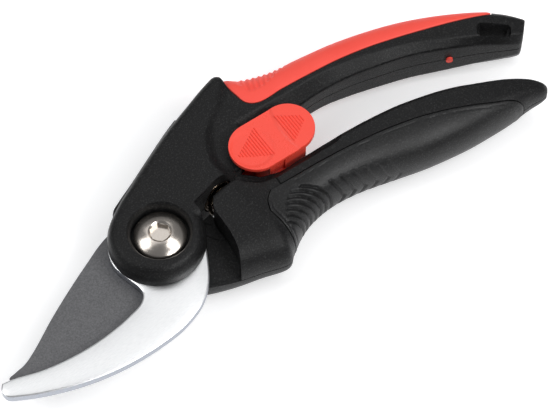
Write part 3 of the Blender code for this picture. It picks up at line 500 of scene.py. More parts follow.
def section(row, inset=0.0, belly_points=16):
    """One closed ring of a handle, shrunk by `inset` on every side."""
    ix, iy, ox, oy, half, inner, ridge, belly = row
    start = np.array((ix, iy))
    across = np.array((ox, oy)) - start
    width = np.linalg.norm(across)
    lost = min(inset, 0.45 * width) / width
    half = max(half - inset, 0.8)
    inner = max(min(inner - 0.6 * inset, half - 0.3), 0.4)
    profile = [(0.0, inner), (ridge, half)]
    for cos, sin in quarter(belly_points):
        profile.append((belly + (1 - belly) * sin ** (2 / BELLY_POWER),
                        half * max(cos, 0.0) ** (2 / BELLY_POWER)))
    profile[-1] = (1.0, 0.0)
    ring = []
    for share, z in profile + [(share, -z) for share, z in reversed(profile[:-1])]:
        x, y = start + across * (lost + (1 - 2 * lost) * share)
        ring.append((x, y, z))
    return ring


def handle(name, stations, steps=8, inset=0.0, belly_points=16):
    places = np.linspace(0, len(stations) - 1, (len(stations) - 1) * steps + 1)
    return loft(name, [section(row, inset, belly_points)
                       for row in station_at(stations, places)])


def place_of(stations, x):
    """The place in the station table where the middle of the section has this x."""
    places = np.linspace(0, len(stations) - 1, 600)
    rows = station_at(stations, places)
    return np.interp(x, (rows[:, 0] + rows[:, 2]) / 2, places)


def dense_handle(name, stations, spans, belly_points):
    """A handle whose sections lie `spacing` apart between each span's low and high x."""
    xs = [np.arange(low, high, spacing) for low, high, spacing in spans]
    places = place_of(stations, np.append(np.concatenate(xs), spans[-1][1]))
    return loft(name, [section(row, 0.0, belly_points) for row in station_at(stations, places)])


def rows_at(stations, points):
    """The station rows through points on a handle, and how far across each point lies."""
    places = place_of(stations, points[:, 0])
    for _ in range(3):
        rows = station_at(stations, places)
        start, across = rows[:, 0:2], rows[:, 2:4] - rows[:, 0:2]
        share = np.sum((points[:, :2] - start) * across, axis=1) / np.sum(across ** 2, axis=1)
        middle = (rows[:, 0] + rows[:, 2]) / 2
        on_line = rows[:, 0] + across[:, 0] * share
        places = place_of(stations, points[:, 0] + middle - on_line)
    return station_at(stations, places), share


def around(stations, points):
    """For points on a handle: distance round the belly from the outer edge, in mm."""
    rows, share = rows_at(stations, points)
    width = np.linalg.norm(rows[:, 2:4] - rows[:, 0:2], axis=1)
    belly, half_height = rows[:, 7], rows[:, 4]
    reach = (1 - belly) * width
    across_part = np.clip((share - belly) / (1 - belly), 0, 1) ** (BELLY_POWER / 2)
    up_part = np.clip(np.abs(points[:, 2]) / half_height, 0, 1) ** (BELLY_POWER / 2)
    angle = np.arctan2(up_part, across_part)
    angles = np.linspace(0, math.pi / 2, 60)
    dx = np.diff(np.cos(angles) ** (2 / BELLY_POWER))
    dz = np.diff(np.sin(angles) ** (2 / BELLY_POWER))
    length = np.zeros(len(points))
    for k in range(len(dx)):
        passed = np.clip((angle - angles[k]) / (angles[1] - angles[0]), 0, 1)
        length += passed * np.hypot(dx[k] * reach, dz[k] * half_height)
    return length + np.clip(belly - share, 0, 1) * width


def outer_skin(stations, spots):
    """1 for points on the handle's outer surface, 0 for points on the core below it."""
    rows, share = rows_at(stations, spots)
    belly = np.clip((share - rows[:, 7]) / (1 - rows[:, 7]), 0, 1)
    level = belly ** BELLY_POWER + (np.abs(spots[:, 2]) / rows[:, 4]) ** BELLY_POWER
    slanted = rows[:, 5] + (rows[:, 4] - rows[:, 5]) * np.clip(share / rows[:, 6], 0, 1)
    flat = np.abs(spots[:, 2]) / slanted
    return (np.where(share > rows[:, 7], level, flat) > 0.965).astype(float)


def locals_of(obj):
    """The vertices in mm from the origin, and their normals."""
    count = len(obj.data.vertices)
    spots = np.zeros(count * 3)
    normals = np.zeros(count * 3)
    obj.data.vertices.foreach_get("co", spots)
    obj.data.vertices.foreach_get("normal", normals)
    return (spots.reshape(-1, 3) - np.array(ORIGIN)) / MM, normals.reshape(-1, 3)


def put_back(obj, spots):
    moved = spots * MM + np.array(ORIGIN)
    obj.data.vertices.foreach_set("co", moved.ravel())
    obj.data.update()


def distance_to(outline, points):
    """Distance in the mid-plane from points to a closed outline."""
    best = np.full(len(points), 1e9)
    for a, b in zip(outline, np.roll(outline, -1, axis=0)):
        run = b - a
        t = np.clip(((points[:, :2] - a) @ run) / max(run @ run, TINY), 0, 1)
        best = np.minimum(best, np.linalg.norm(points[:, :2] - a - t[:, None] * run, axis=1))
    return best


def eased_step(t):
    """0 to 1 with level ends."""
    t = np.clip(t, 0, 1)
    return t * t * (3 - 2 * t)


def bump(distance, half_width):
    """1 at distance 0, falling smoothly to 0 at half_width."""
    return eased_step(1 - distance / half_width)


def soft_room(stations, zone):
    """A tool that takes the soft part's room from a shell."""
    outline = moved_out(eased(zone, ZONE_STEP), GAP)
    taken = slab("soft_room", outline, SIDE_CUT)
    return combine(taken, [handle("core", stations, 6, SOFT_SKIN + GAP, 10)])


def soft_part(name, stations, spans, belly_points, zone, lip, proud, rim_groove, grooves):
    """A handle's soft skin in a zone: rounded up from its rim, with grooves over the belly."""
    part = dense_handle(name, stations, spans, belly_points)
    combine(part, [slab("zone", eased(zone, ZONE_STEP), SIDE_CUT)], "INTERSECT")
    combine(part, [handle("soft_core", stations, 6, SOFT_SKIN, 10)])
    spots, normals = locals_of(part)
    inward = distance_to(eased(zone, ZONE_STEP), spots)
    rise = proud * np.sqrt(np.clip(1 - (1 - np.clip(inward / lip, 0, 1)) ** 2, 0, 1))
    rise -= rim_groove * bump(np.abs(inward - 1.2), 0.4) + grooves(spots)
    put_back(part, spots + normals * (rise * outer_skin(stations, spots))[:, None])
    return part


def groove(spots, from_edge, line, reach, half_width, slope=0.0):
    """1 along a line over the belly, up to its reach from the edge, falling to 0 beside it."""
    beyond = np.maximum(from_edge - reach, 0)
    return bump(np.hypot((spots[:, 0] - line) / np.hypot(1, slope), beyond), half_width)


# ---------------------------------------- materials
def shader(name, colour, roughness, metallic=0.0, specular=0.5):
    made = bpy.data.materials.new(name)
    made.use_nodes = True
    inputs = made.node_tree.nodes["Principled BSDF"].inputs
    inputs["Base Color"].default_value = (*colour, 1)
    inputs["Roughness"].default_value = roughness
    inputs["Metallic"].default_value = metallic
    inputs["Specular IOR Level"].default_value = specular
    return made


def noise(made, scale, stretch=(1, 1, 1), **values):
    """Noise in object coordinates, its scale per millimetre."""
    nodes, links = made.node_tree.nodes, made.node_tree.links
    coords = nodes.new("ShaderNodeTexCoord")
    mapping = nodes.new("ShaderNodeMapping")
    mapping.inputs["Scale"].default_value = [scale / MM * s for s in stretch]
    node = nodes.new("ShaderNodeTexNoise")
    node.inputs["Scale"].default_value = 1.0
    for key, value in values.items():
        node.inputs[key].default_value = value
    links.new(coords.outputs["Object"], mapping.inputs["Vector"])
    links.new(mapping.outputs["Vector"], node.inputs["Vector"])
    return node.outputs["Fac"]


def mixed(made, fine, broad, share):
    """A share of one output added to another."""
    node = made.node_tree.nodes.new("ShaderNodeMath")
    node.operation = "MULTIPLY_ADD"
    node.inputs[1].default_value = share
    made.node_tree.links.new(fine, node.inputs[0])
    made.node_tree.links.new(broad, node.inputs[2])
    return node.outputs["Value"]


def ramp(made, source, low, high, start=0.3, end=0.7):
    """Maps a 0..1 output to a range between two numbers or two colours."""
    nodes, links = made.node_tree.nodes, made.node_tree.links
    if isinstance(low, tuple):
        node = nodes.new("ShaderNodeValToRGB")
        for element, place, colour in zip(node.color_ramp.elements, (start, end), (low, high)):
            element.position = place
            element.color = (*colour, 1)
        links.new(source, node.inputs["Fac"])
        return node.outputs["Color"]
    node = nodes.new("ShaderNodeMapRange")
    for key, value in (("From Min", start), ("From Max", end), ("To Min", low), ("To Max", high)):
        node.inputs[key].default_value = value
    links.new(source, node.inputs["Value"])
    return node.outputs["Result"]


def into(made, socket, source):
    made.node_tree.links.new(source, made.node_tree.nodes["Principled BSDF"].inputs[socket])


def bumped(made, *heights):
    """Bumps in a chain; each height comes with its depth in mm."""
    nodes, links = made.node_tree.nodes, made.node_tree.links
    before = None
    for source, depth in heights:
        node = nodes.new("ShaderNodeBump")
        node.inputs["Strength"].default_value = 1.0
        node.inputs["Distance"].default_value = depth * MM
        links.new(source, node.inputs["Height"])
        if before:
            links.new(before, node.inputs["Normal"])
        before = node.outputs["Normal"]
    into(made, "Normal", before)


def nylon(name, colour, light, roughness, grain, specular):
    """Glass-filled nylon: a fine pebbled grain with pale flecks."""
    made = shader(name, colour, roughness, specular=specular)
    fine = noise(made, 2.5, Detail=3.0, Roughness=0.6)
    flecks = noise(made, 2.2, Detail=2.0, Roughness=0.7)
    broad = noise(made, 0.06, Detail=3.0)
    into(made, "Base Color", ramp(made, flecks, colour, light, 0.52, 0.74))
    into(made, "Roughness", ramp(made, mixed(made, fine, broad, 0.35), roughness - 0.10,
                                 roughness + 0.12, 0.4, 0.95))
    bumped(made, (fine, grain), (flecks, grain * 0.6))
    return made


def rubber(name, colour, light, roughness):
    """Thermoplastic rubber: matt, with a soft fine grain and slight handling marks."""
    made = shader(name, colour, roughness, specular=0.4)
    fine = noise(made, 4.0, Detail=2.0, Roughness=0.5)
    broad = noise(made, 0.09, Detail=4.0, Roughness=0.6)
    into(made, "Base Color", ramp(made, broad, colour, light, 0.35, 0.7))
    into(made, "Roughness", ramp(made, broad, roughness - 0.06, roughness + 0.08))
    bumped(made, (fine, 0.03))
    return made


def brushed(name, colour, dark, roughness, stretch, depth=0.012):
    """Metal with hairlines along one axis and a slow change of tone."""
    made = shader(name, colour, roughness, 1.0)
    hair = noise(made, 5.0, stretch, Detail=4.0, Roughness=0.75)
    broad = noise(made, 0.05, Detail=3.0)
    into(made, "Base Color", ramp(made, hair, dark, colour, 0.25, 0.6))
    into(made, "Roughness", ramp(made, mixed(made, hair, broad, 0.6), roughness - 0.08,
                                 roughness + 0.14, 0.4, 1.2))
    bumped(made, (hair, depth))
    return made


def coated(name, colour, light, roughness):
    """The blade's dry dark coating with a fine grain."""
    made = shader(name, colour, 0.42, 0.35)
    grain = noise(made, 2.4, Detail=3.0)
    broad = noise(made, 0.07, Detail=4.0)
    into(made, "Base Color", ramp(made, grain, colour, light))
    into(made, "Roughness", ramp(made, broad, *roughness))
    bumped(made, (grain, 0.014))
    return made


STEEL = brushed("Brushed steel", (0.90, 0.905, 0.91), (0.76, 0.77, 0.78), 0.32,
                (0.1, 1.0, 1.0))
# a darker copy of the brushed steel for the hook plate's side faces: painted shade
STEEL_SIDE_PAINTED_SHADE = brushed("Steel side painted shade", (0.46, 0.48, 0.53), (0.36, 0.38, 0.42), 0.4, (1, 1, 0.2))
COATED = coated("Coated steel", (0.085, 0.085, 0.09), (0.145, 0.145, 0.15), (0.38, 0.5))
NICKEL = brushed("Nickel", (0.66, 0.605, 0.55), (0.55, 0.50, 0.45), 0.2, (1, 1, 1), 0.004)
WIRE = brushed("Spring steel", (0.34, 0.27, 0.20), (0.22, 0.18, 0.14), 0.24, (1, 1, 1), 0.006)
BLACK = nylon("Black nylon", (0.0072, 0.0072, 0.0075), (0.034, 0.034, 0.034), 0.36, 0.1, 0.17)
BLACK_SOFT = nylon("Black soft grip", (0.008, 0.008, 0.0082), (0.034, 0.034, 0.034), 0.34,
                   0.09, 0.26)
RED_SOFT = rubber("Red soft inlay", (0.90, 0.075, 0.052), (0.93, 0.088, 0.062), 0.5)
RED_GLOSS = nylon("Red nylon", (0.90, 0.07, 0.042), (0.93, 0.082, 0.052), 0.3, 0.012, 0.45)


# ---------------------------------------- steel parts
def tang_holes(spots, low, high):
    """The hole for the bushing and those for the pin and the first screw."""
    return [rod("hole", SLEEVE_R + GAP, PIVOT_AT, low, high, 96)] \
        + [rod("hole", PIN_R + GAP, spot[:2], low, high) for spot in spots]


def hook_blade():
    """Ground steel plate with a small chamfer along the front rim."""
    chamfer = 0.35
    stack = ((SPLIT, -0.12), (SPLIT + 0.12, 0.0), (HOOK_TOP - chamfer * 0.7, 0.0),
             (HOOK_TOP - 0.06, -chamfer + 0.05), (HOOK_TOP, -chamfer - 0.08))
    hook = combine(slab("hook", eased(HOOK), stack),
                   tang_holes((HOOK_PIN_AT, UPPER_SCREWS[0]), -5, 9))
    piece(hook, "hook_plate", "upper_handle", STEEL, ["hook_blade"], 25)
    hook.data.materials.append(STEEL_SIDE_PAINTED_SHADE)
    # faces that stand near upright take the darker steel copy: painted shade on the sides
    for face in hook.data.polygons:
        face.material_index = int(abs(face.normal.z) < 0.3)


def cutting_blade():
    """Flat face towards the hook, hollow-ground edge behind it, small radius all round."""
    grind = 5.0
    land = 0.4
    points = BLADE_BACK + BLADE_EDGE + BLADE_TANG
    face = eased(points)
    shares = [grind * min(1.0, 0.35 + 0.3 * index) for index in range(len(BLADE_EDGE))]
    low_edge = [(x + 0.2 * share, y + 0.75 * share) for (x, y), share in zip(BLADE_EDGE, shares)]
    # the ground outline takes as many steps between its points as the face does
    low = matched(face, points, (*BLADE_BACK, *low_edge, *BLADE_TANG))
    blade = loft("blade", [ring_at(face, -SPLIT, -0.1), ring_at(face, -SPLIT - 0.1),
                           ring_at(face, -SPLIT - land), ring_at(low, BLADE_BOTTOM + 0.15),
                           ring_at(low, BLADE_BOTTOM, -0.15)])
    combine(blade, tang_holes((BLADE_PIN_AT, LOWER_SCREWS[0]), -9, 5))
    piece(blade, "blade_plate", "lower_handle", COATED, ["cutting_blade"], 25)
    moulded_tang(blade)


def moulded_tang(blade):
    """The tang behind the pivot is moulded over in black nylon."""
    bm = bmesh.new()
    bm.from_mesh(blade.data)
    everything = bm.verts[:] + bm.edges[:] + bm.faces[:]
    bmesh.ops.bisect_plane(bm, geom=everything, plane_co=ORIGIN, plane_no=(1, 0, 0))
    for face in bm.faces:
        face.material_index = int(face.calc_center_median().x > 0)
    bm.to_mesh(blade.data)
    bm.free()
    blade.data.materials.append(BLACK)


def matched(fine, points, other):
    """`fine` was eased from `points`; the same steps on `other`, moved as its points moved."""
    spots = np.array([p[:2] for p in points], float)
    shift = np.array([q[:2] for q in other], float) - spots
    where = [int(np.argmin(np.linalg.norm(fine - spot, axis=1))) for spot in spots]
    count = len(fine)
    return fine + np.column_stack([np.interp(np.arange(count), where, shift[:, k], period=count)
                                   for k in (0, 1)])


# ---------------------------------------- pivot
def pivot_bolt():
    """Domed head with a hexagon socket that opens in a small cone."""
    rim, edge = HEAD_R - 0.12, 0.6
    cap = HEAD_TOP - HEAD_BASE - edge
    sphere = (rim ** 2 + cap ** 2) / (2 * cap)
    dome = [(r, HEAD_TOP - sphere + math.sqrt(sphere ** 2 - r ** 2))
            for r in (rim * step / 24 for step in range(25))]
    profile = dome + [(HEAD_R, HEAD_BASE + edge - 0.15), (HEAD_R, HEAD_BASE + 0.15),
                      (HEAD_R - 0.15, HEAD_BASE), (SHANK_R, HEAD_BASE),
                      (SHANK_R, BOLT_LOW.z + 0.3), (SHANK_R - 0.3, BOLT_LOW.z), (0, BOLT_LOW.z)]
    bolt = turned("bolt", profile, PIVOT_AT, 160)
    socket, depth, turn = 2.8, 2.4, 12
    corner = socket / math.cos(math.pi / 6)
    angles = [math.radians(60 * k + turn) for k in range(6)]
    hexagon = np.array([(PIVOT_AT[0] + corner * math.cos(angle),
                         PIVOT_AT[1] + corner * math.sin(angle)) for angle in angles])
    key = slab("key", hexagon, ((HEAD_TOP - depth, 0.0), (HEAD_TOP + 3, 0.0)))
    mouth = corner + 0.35
    cone = turned("cone", ((0, HEAD_TOP + 1), (mouth + 1.8, HEAD_TOP + 1),
                           (mouth - 0.65, HEAD_TOP - 1.05), (0, HEAD_TOP - 1.05)), PIVOT_AT)
    combine(bolt, [key, cone])
    piece(bolt, "bolt_button_head", "upper_handle", NICKEL, ["pivot_bolt"], 20)


def pivot_nut():
    bore = SHANK_R + GAP
    rim = 0.6
    profile = [(0, NUT_HIGH.z - 2.4), (bore, NUT_HIGH.z - 2.4), (bore, NUT_HIGH.z),
               (HEAD_R - 0.1, NUT_HIGH.z), (HEAD_R, NUT_HIGH.z - 0.1)]
    profile += [(HEAD_R - rim + rim * cos, NUT_LOW.z + rim - rim * sin)
                for cos, sin in quarter(6)]
    profile += [(6.9, NUT_LOW.z), (6.7, NUT_LOW.z + 0.15), (2.6, NUT_LOW.z + 0.15),
                (2.4, NUT_LOW.z), (0, NUT_LOW.z)]
    nut = turned("nut", profile, PIVOT_AT, 128)
    tools = [turned("spanner", ((0, NUT_LOW.z + 2.0), (1.1, NUT_LOW.z + 1.6),
                                (1.1, NUT_LOW.z + 0.35), (1.5, NUT_LOW.z - 0.4),
                                (0, NUT_LOW.z - 0.4)), (PIVOT_AT[0] + side * 4.7, PIVOT_AT[1]), 32)
             for side in (-1, 1)]
    combine(nut, tools)
    piece(nut, "nut_spanner_face", "upper_handle", NICKEL, ["pivot_nut"], 25)


def washer(name, node):
    """A spring-steel washer with its punched rim slightly rounded."""
    low, high = cad_box(node)
    inner = SHANK_R + GAP
    soft = 0.12
    outer = (high.x - low.x) / 2
    profile = ((outer, high.z - soft), (outer, low.z + soft), (outer - soft, low.z),
               (inner + soft, low.z), (inner, low.z + soft), (inner, high.z - soft),
               (inner + soft, high.z), (outer - soft, high.z))
    piece(turned("washer", profile, PIVOT_AT, 128), name, "upper_handle", NICKEL,
          [node], 25)


def return_spring():
    """The wound wire between the two handles."""
    axis = (SPRING_END - SPRING_START).normalized()
    turn = Matrix.Translation(cad_middle("return_spring")) \
        @ axis.to_track_quat("Z", "Y").to_matrix().to_4x4()
    count = int(SPRING_TURNS * 36) + 1
    line = []
    for index in range(count):
        share = index / (count - 1)
        angle = 2 * math.pi * SPRING_TURNS * share
        line.append(turn @ Vector((SPRING_R * math.cos(angle), SPRING_R * math.sin(angle),
                                   SPRING_REACH * (share - 0.5))))
    coil = tube("coil", line, SPRING_WIRE / 2, 14)
    coil.name = "return_coil"
    coil.data.shade_smooth()
    coil.data.materials.append(WIRE)
    start, end = (ORIGIN + spot * MM for spot in (SPRING_END, SPRING_START))
    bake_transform(coil)
    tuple(start)
    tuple(end)
    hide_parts("return_spring")


def tube(name, line, radius, sides):
    """A round wire along a line of points."""
    rings = []
    across = None
    for index, spot in enumerate(line):
        ahead = line[min(index + 1, len(line) - 1)] - line[max(index - 1, 0)]
        ahead.normalize()
        if across is None:
            across = ahead.orthogonal().normalized()
        across = (across - ahead * across.dot(ahead)).normalized()
        third = ahead.cross(across)
        rings.append([spot + radius * (math.cos(2 * math.pi * k / sides) * across
                                       + math.sin(2 * math.pi * k / sides) * third)
                      for k in range(sides)])
    return loft(name, rings)


# ---------------------------------------- upper handle
def ring_profile(side):
    """The boss round the bolt: flat on top, its outer side a quarter of an ellipse."""
    profile = [(0, HEAD_TOP)]
    profile += [(RING_FLAT_R + (RING_R - RING_FLAT_R) * sin,
                 RING_BASE + (HEAD_TOP - RING_BASE) * cos) for cos, sin in quarter(12)]
    profile += [(RING_R, SPLIT + 0.1), (0, SPLIT + 0.1)]
    return [(r, side * z) for r, z in profile]


def pivot_room(side):
    """Recess for head and washer with a flared mouth, and the bushing's hole."""
    over = 1.6
    bevel = 0.4
    rim = RECESS_R + RECESS_RIM - 0.2
    profile = [(0, HEAD_TOP + over), (rim + over + bevel, HEAD_TOP + over),
               (rim, HEAD_TOP - bevel), (RECESS_R, HEAD_TOP - RECESS_FLARE),
               (RECESS_R, RECESS_FLOOR),
               (SLEEVE_R + GAP, RECESS_FLOOR), (SLEEVE_R + GAP, -4.0), (0, -4.0)]
    return turned("pivot_room", [(r, side * z) for r, z in profile], PIVOT_AT, 128)


def half(side):
    """What a front (1) or back (-1) shell loses beyond the mid-plane."""
    return box("half", (-95, 165), (-65, 75), (-31, SPLIT) if side > 0 else (-SPLIT, 29))


def pin_rooms(*spots):
    return [rod("pin_room", PIN_R + GAP, spot[:2], -PIN_HALF - GAP, PIN_HALF + GAP)
            for spot in spots]


def screw_rooms(spots):
    tip, seat = SCREW_TIP + GAP, SCREW_SEAT + GAP
    profile = ((0, tip), (SCREW_ROOM_R, tip), (SCREW_ROOM_R, seat),
               (SCREW_HEAD_ROOM_R, seat), (SCREW_HEAD_ROOM_R, -CUT), (0, -CUT))
    return [turned("screw_room", profile, spot[:2], 48) for spot in spots]


def lanyard_slot():
    """A slot through the end of the upper handle with softened mouths."""
    cos, sin = math.cos(LANYARD_ANGLE), math.sin(LANYARD_ANGLE)
    outline = eased(LANYARD) @ np.array(((cos, sin), (-sin, cos))) + np.array(LANYARD_AT)
    mouth = ((6.3, 0.0), (6.9, 0.2), (8.4, 0.9), (CUT, 0.9))
    return slab("lanyard", outline, [(-z, move) for z, move in reversed(mouth)] + list(mouth))


def feed_plug(grow=0.0):
    """The runner that fills the red inlay, seen as a dot on the inner face."""
    return aimed(rod("feed", FEED_R + grow, (0, 0), -grow - 0.15, FEED_REACH, 32), FEED_AT,
                 FEED_ALONG)


def shell_piece(shell, side, name, tools):
    """Cuts the rooms from a shell and makes it a piece of its handle."""
    combine(shell, [half(side)] + tools)
    place = "front" if side > 0 else "back"
    piece(shell, f"{name}_shell_{place}", f"{name}_handle", BLACK,
          [f"{name}_{place}_shell"])


def upper_shell(side):
    bodies = [handle("upper", UPPER_STATIONS),
              slab("neck", eased(UPPER_NECK), rounding(-NECK_TOP, NECK_TOP, 1.2, 1.2)),
              combine(slab("head", eased(UPPER_HEAD), rounding(-PLATEAU, PLATEAU, 3.0, 3.0, 8)),
                      [lock_bowl()]),
              slab("housing", eased(HOOK_HOUSING), rounding(-6.4, 6.4, 0.5, 0.5))]
    if side > 0:
        bodies.append(turned("ring", ring_profile(side)))
        tools = [slab("hook_room", moved_out(eased(HOOK), GAP), ((-2, 0), (HOOK_TOP + GAP, 0))),
                 pivot_room(side)]
    else:
        tools = [rod("ring_sweep", SWEEP_R, PIVOT_AT, -CUT, CUT, 128),
                 box("blade_sweep", *BLADE_SWEEP)]
    tools += [slab("jaw_gap", eased(JAW_GAP), SIDE_CUT), soft_room(UPPER_STATIONS, RED_ZONE),
              feed_plug(0.05), spring_pocket(), box("guide_slot", *GUIDE_SLOT),
              box("detent_slot", *DETENT_SLOT), *screw_rooms(UPPER_SCREWS),
              *pin_rooms(HOOK_PIN_AT, GUIDE_PIN_AT), lanyard_slot()]
    shell_piece(moulded("shell", bodies), side, "upper", tools)


def lock_bowl():
    """The faces beside the thumb lock lie lower, behind a soft slope."""
    slope = ((PLATEAU + 3, 0.8), (PLATEAU, 0.0), (9.6, -0.7), (9.0, -1.5), (8.5, -2.4), (8.0, -3.6))
    return slab("lock_bowl", eased(LOCK_BOWL),
                slope + tuple((-z, move) for z, move in reversed(slope)))


def scallops(spots):
    """How deep the grooves over the red belly go, in mm, at each point."""
    from_edge = around(UPPER_STATIONS, spots)
    depth = np.zeros(len(spots))
    reaches = (9.5, 12.6, 12.8, 12.4, 11.8, 10.8, 9.6, 8.2, 6.6, 5.4, 4.4, 3.6, 3.0)
    for index, reach in enumerate(reaches):
        line = 53.0 + 1.95 * index - (0.27 + 0.033 * index) * from_edge
        dent = groove(spots, from_edge, line, reach, 0.92)
        depth = np.maximum(depth, dent * (0.45 if index else 0.2))
    return depth


def upper_inlay():
    inlay = soft_part("inlay", UPPER_STATIONS, ((46.2, 76.0, 0.27), (76.0, 134.6, 0.8)), 40,
                      RED_ZONE, 0.7, 0.22, 0.0, scallops)
    combine(inlay, [feed_plug()], "UNION")
    piece(inlay, "upper_inlay_red", "upper_handle", RED_SOFT, ["upper_grip_inlay"])


# ---------------------------------------- lower handle
def lock_recess():
    """The hollow round the thumb plate, its wall curving into its floor."""
    length, width = LOCK_RECESS_SIZE
    return loft("lock_recess", [
        ring_at(stadium(LOCK_RECESS_AT, length - 2 * less, width - 2 * less, 40), z)
        for z, less in ((PLATEAU + 1, -0.2), (PLATEAU, 0.4), (8.7, 1.4), (8.1, 2.2), (7.7, 3.2),
                        (7.6, 4.0))])


def lower_shell(side):
    bodies = [handle("lower", LOWER_STATIONS)]
    if side > 0:
        bodies.append(slab("lock_lip", eased(LOCK_LIP), rounding(5.2, 7.9, 0.4, 0.3)))
        shell = moulded("shell", bodies)
        crease(shell)
        tools = [slab("wall", eased(FRONT_WALL), SIDE_CUT), lock_recess()]
    else:
        bodies.append(turned("ring", ring_profile(side), PIVOT_AT))
        shell = moulded("shell", bodies)
        outline = moved_out(eased(BLADE_BACK + BLADE_EDGE + BLADE_TANG), 0.1)
        tools = [slab("blade_room", outline, ((BLADE_BOTTOM - GAP, 0), (2, 0))),
                 pivot_room(side)]
    tools += [soft_room(LOWER_STATIONS, SOFT_ZONE), spring_pocket(),
              box("claw_slot", *CLAW_SLOT), *screw_rooms(LOWER_SCREWS),
              *pin_rooms(BLADE_PIN_AT, CATCH_AT)]
    shell_piece(shell, side, "lower", tools)


def crease(shell):
    """The face falls away from a line that runs down from the lock to the heel."""
    knee = np.array(KNEE)
    spots, _ = locals_of(shell)
    line = np.interp(-spots[:, 1], -knee[:, 1], knee[:, 0])
    beyond = np.clip(spots[:, 0] - line, 0, 9)
    top = PLATEAU - 0.15 * beyond
    near = (spots[:, 0] < 40) & (spots[:, 2] > 6)
    spots[:, 2] = np.where(near, np.minimum(spots[:, 2], top), spots[:, 2])
    put_back(shell, spots)


def ribs(spots):
    """How deep the grooves over the soft belly go, in mm, at each point."""
    from_edge = around(LOWER_STATIONS, spots)
    depth = np.zeros(len(spots))
    ends = (51.5, 49.3, 47.1, 44.9, 42.7, 40.6, 38.6)
    reaches = (12.6, 13.4, 13.2, 12.5, 11.5, 10.5, 9.5)
    slope = 0.0483 * from_edge ** 1.3
    for end, reach in zip(ends, reaches):
        line = end - 0.021 * from_edge ** 2.3
        depth = np.maximum(depth, groove(spots, from_edge, line, reach, 0.66, slope) * 0.65)
    for index in range(6):
        line = 56.4 + 3.7 * index - 0.38 * from_edge
        dent = groove(spots, from_edge, line, 7.9 - 0.25 * index, 0.95)
        depth = np.maximum(depth, dent * (0.7 - 0.08 * index))
    return depth


def lower_grip():
    grip = soft_part("grip", LOWER_STATIONS, ((31.6, 76.0, 0.27), (76.0, 124.4, 0.8)), 44,
                     SOFT_ZONE, 0.5, 0.18, 0.22, ribs)
    piece(grip, "lower_grip_soft", "lower_handle", BLACK_SOFT, ["lower_soft_grip"])


# ---------------------------------------- lock
def thumb_heights(x, y):
    """The top of the lock's plate: a dish, a raised pad and their ribs."""
    u, v = x - LOCK_AT.x, y - LOCK_AT.y
    height = LOCK_TOP - 0.8 + 0.08 * (u / 14.0) ** 2
    height -= 0.3 * eased_step(2.4 * (1 - (np.hypot(u + 7.2, v) / 7.2) ** 2))
    height += 0.42 * eased_step((u - 2.6 - 0.02 * (v + 1.0) ** 2) / 1.5)
    ridge = np.clip(1.7 * np.cos(2 * math.pi * u / THUMB_PITCH) - 0.5, 0, 1)
    left = (u > -12.0) & (u < -2.7) & (np.abs(v) < 5.6 * np.clip((u + 12.6) / 9.6, 0, 1))
    right = (u > 4.4) & (u < 11.6) & (np.abs(v) < 5.4 * np.clip((12.8 - u) / 8.0, 0, 1))
    return height + 0.3 * ridge * (left | right)


def lock_slider():
    outline = stadium(LOCK_AT, LOCK_LENGTH, LOCK_WIDTH, 48)
    edge = slab("plate", outline, rounding(LOCK_BASE, LOCK_TOP, 0.25, 0.8, 6))
    reach = THUMB_PITCH * 17
    xs = LOCK_AT.x + np.arange(-reach, reach, THUMB_PITCH / 8)
    ys = LOCK_AT.y + np.arange(-LOCK_WIDTH / 2 - 1, LOCK_WIDTH / 2 + 1, 0.22)
    slider = combine(edge, [height_block("thumb", xs, ys, thumb_heights, LOCK_BASE - 1)],
                     "INTERSECT")
    stem = slab("stem", eased(STEM), ((-8.1, 0.0), (LOCK_BASE + 0.3, 0.0)))
    combine(slider, [stem, box("tongue", *TONGUE), box("leg", *CLAW_LEG), box("toe", *CLAW_TOE)],
            "UNION")
    middle = (GUIDE_PIN_AT.x + LOCK_TRAVEL / 2, GUIDE_PIN_AT.y)
    slot = slab("tongue_slot", stadium(middle, LOCK_TRAVEL + 3.4, 3.4, 12), ((-5, 0), (5, 0)))
    bore = rod("cap_bore", SCREW_ROOM_R, CAP_SCREW_AT[:2], -CUT, 4.0)
    combine(slider, [slot, bore, box("notch", *STEM_NOTCH)])
    piece(slider, "lock_thumb_slider", "lock", RED_GLOSS, ["lock_slider"], 30)


def height_block(name, xs, ys, heights, floor):
    """A block whose top follows a height over x and y."""
    grid_x, grid_y = np.meshgrid(xs, ys, indexing="ij")
    across, along = grid_x.shape
    under = across * along
    level = list(zip(grid_x.ravel(), grid_y.ravel()))
    points = [(x, y, z) for (x, y), z in zip(level, heights(grid_x, grid_y).ravel())]
    points += [(x, y, floor) for x, y in level]
    faces = []
    for i in range(across - 1):
        for j in range(along - 1):
            a = i * along + j
            quad = (a, a + 1, a + along + 1, a + along)
            faces += [quad, tuple(under + k for k in reversed(quad))]
    rim = [i * along for i in range(across)] \
        + [(across - 1) * along + j for j in range(1, along)] \
        + [i * along + along - 1 for i in range(across - 2, -1, -1)] \
        + list(range(along - 2, 0, -1))
    for a, b in zip(rim, rim[1:] + rim[:1]):
        faces.append((a, b, under + b, under + a))
    return new_mesh(name, points, faces)


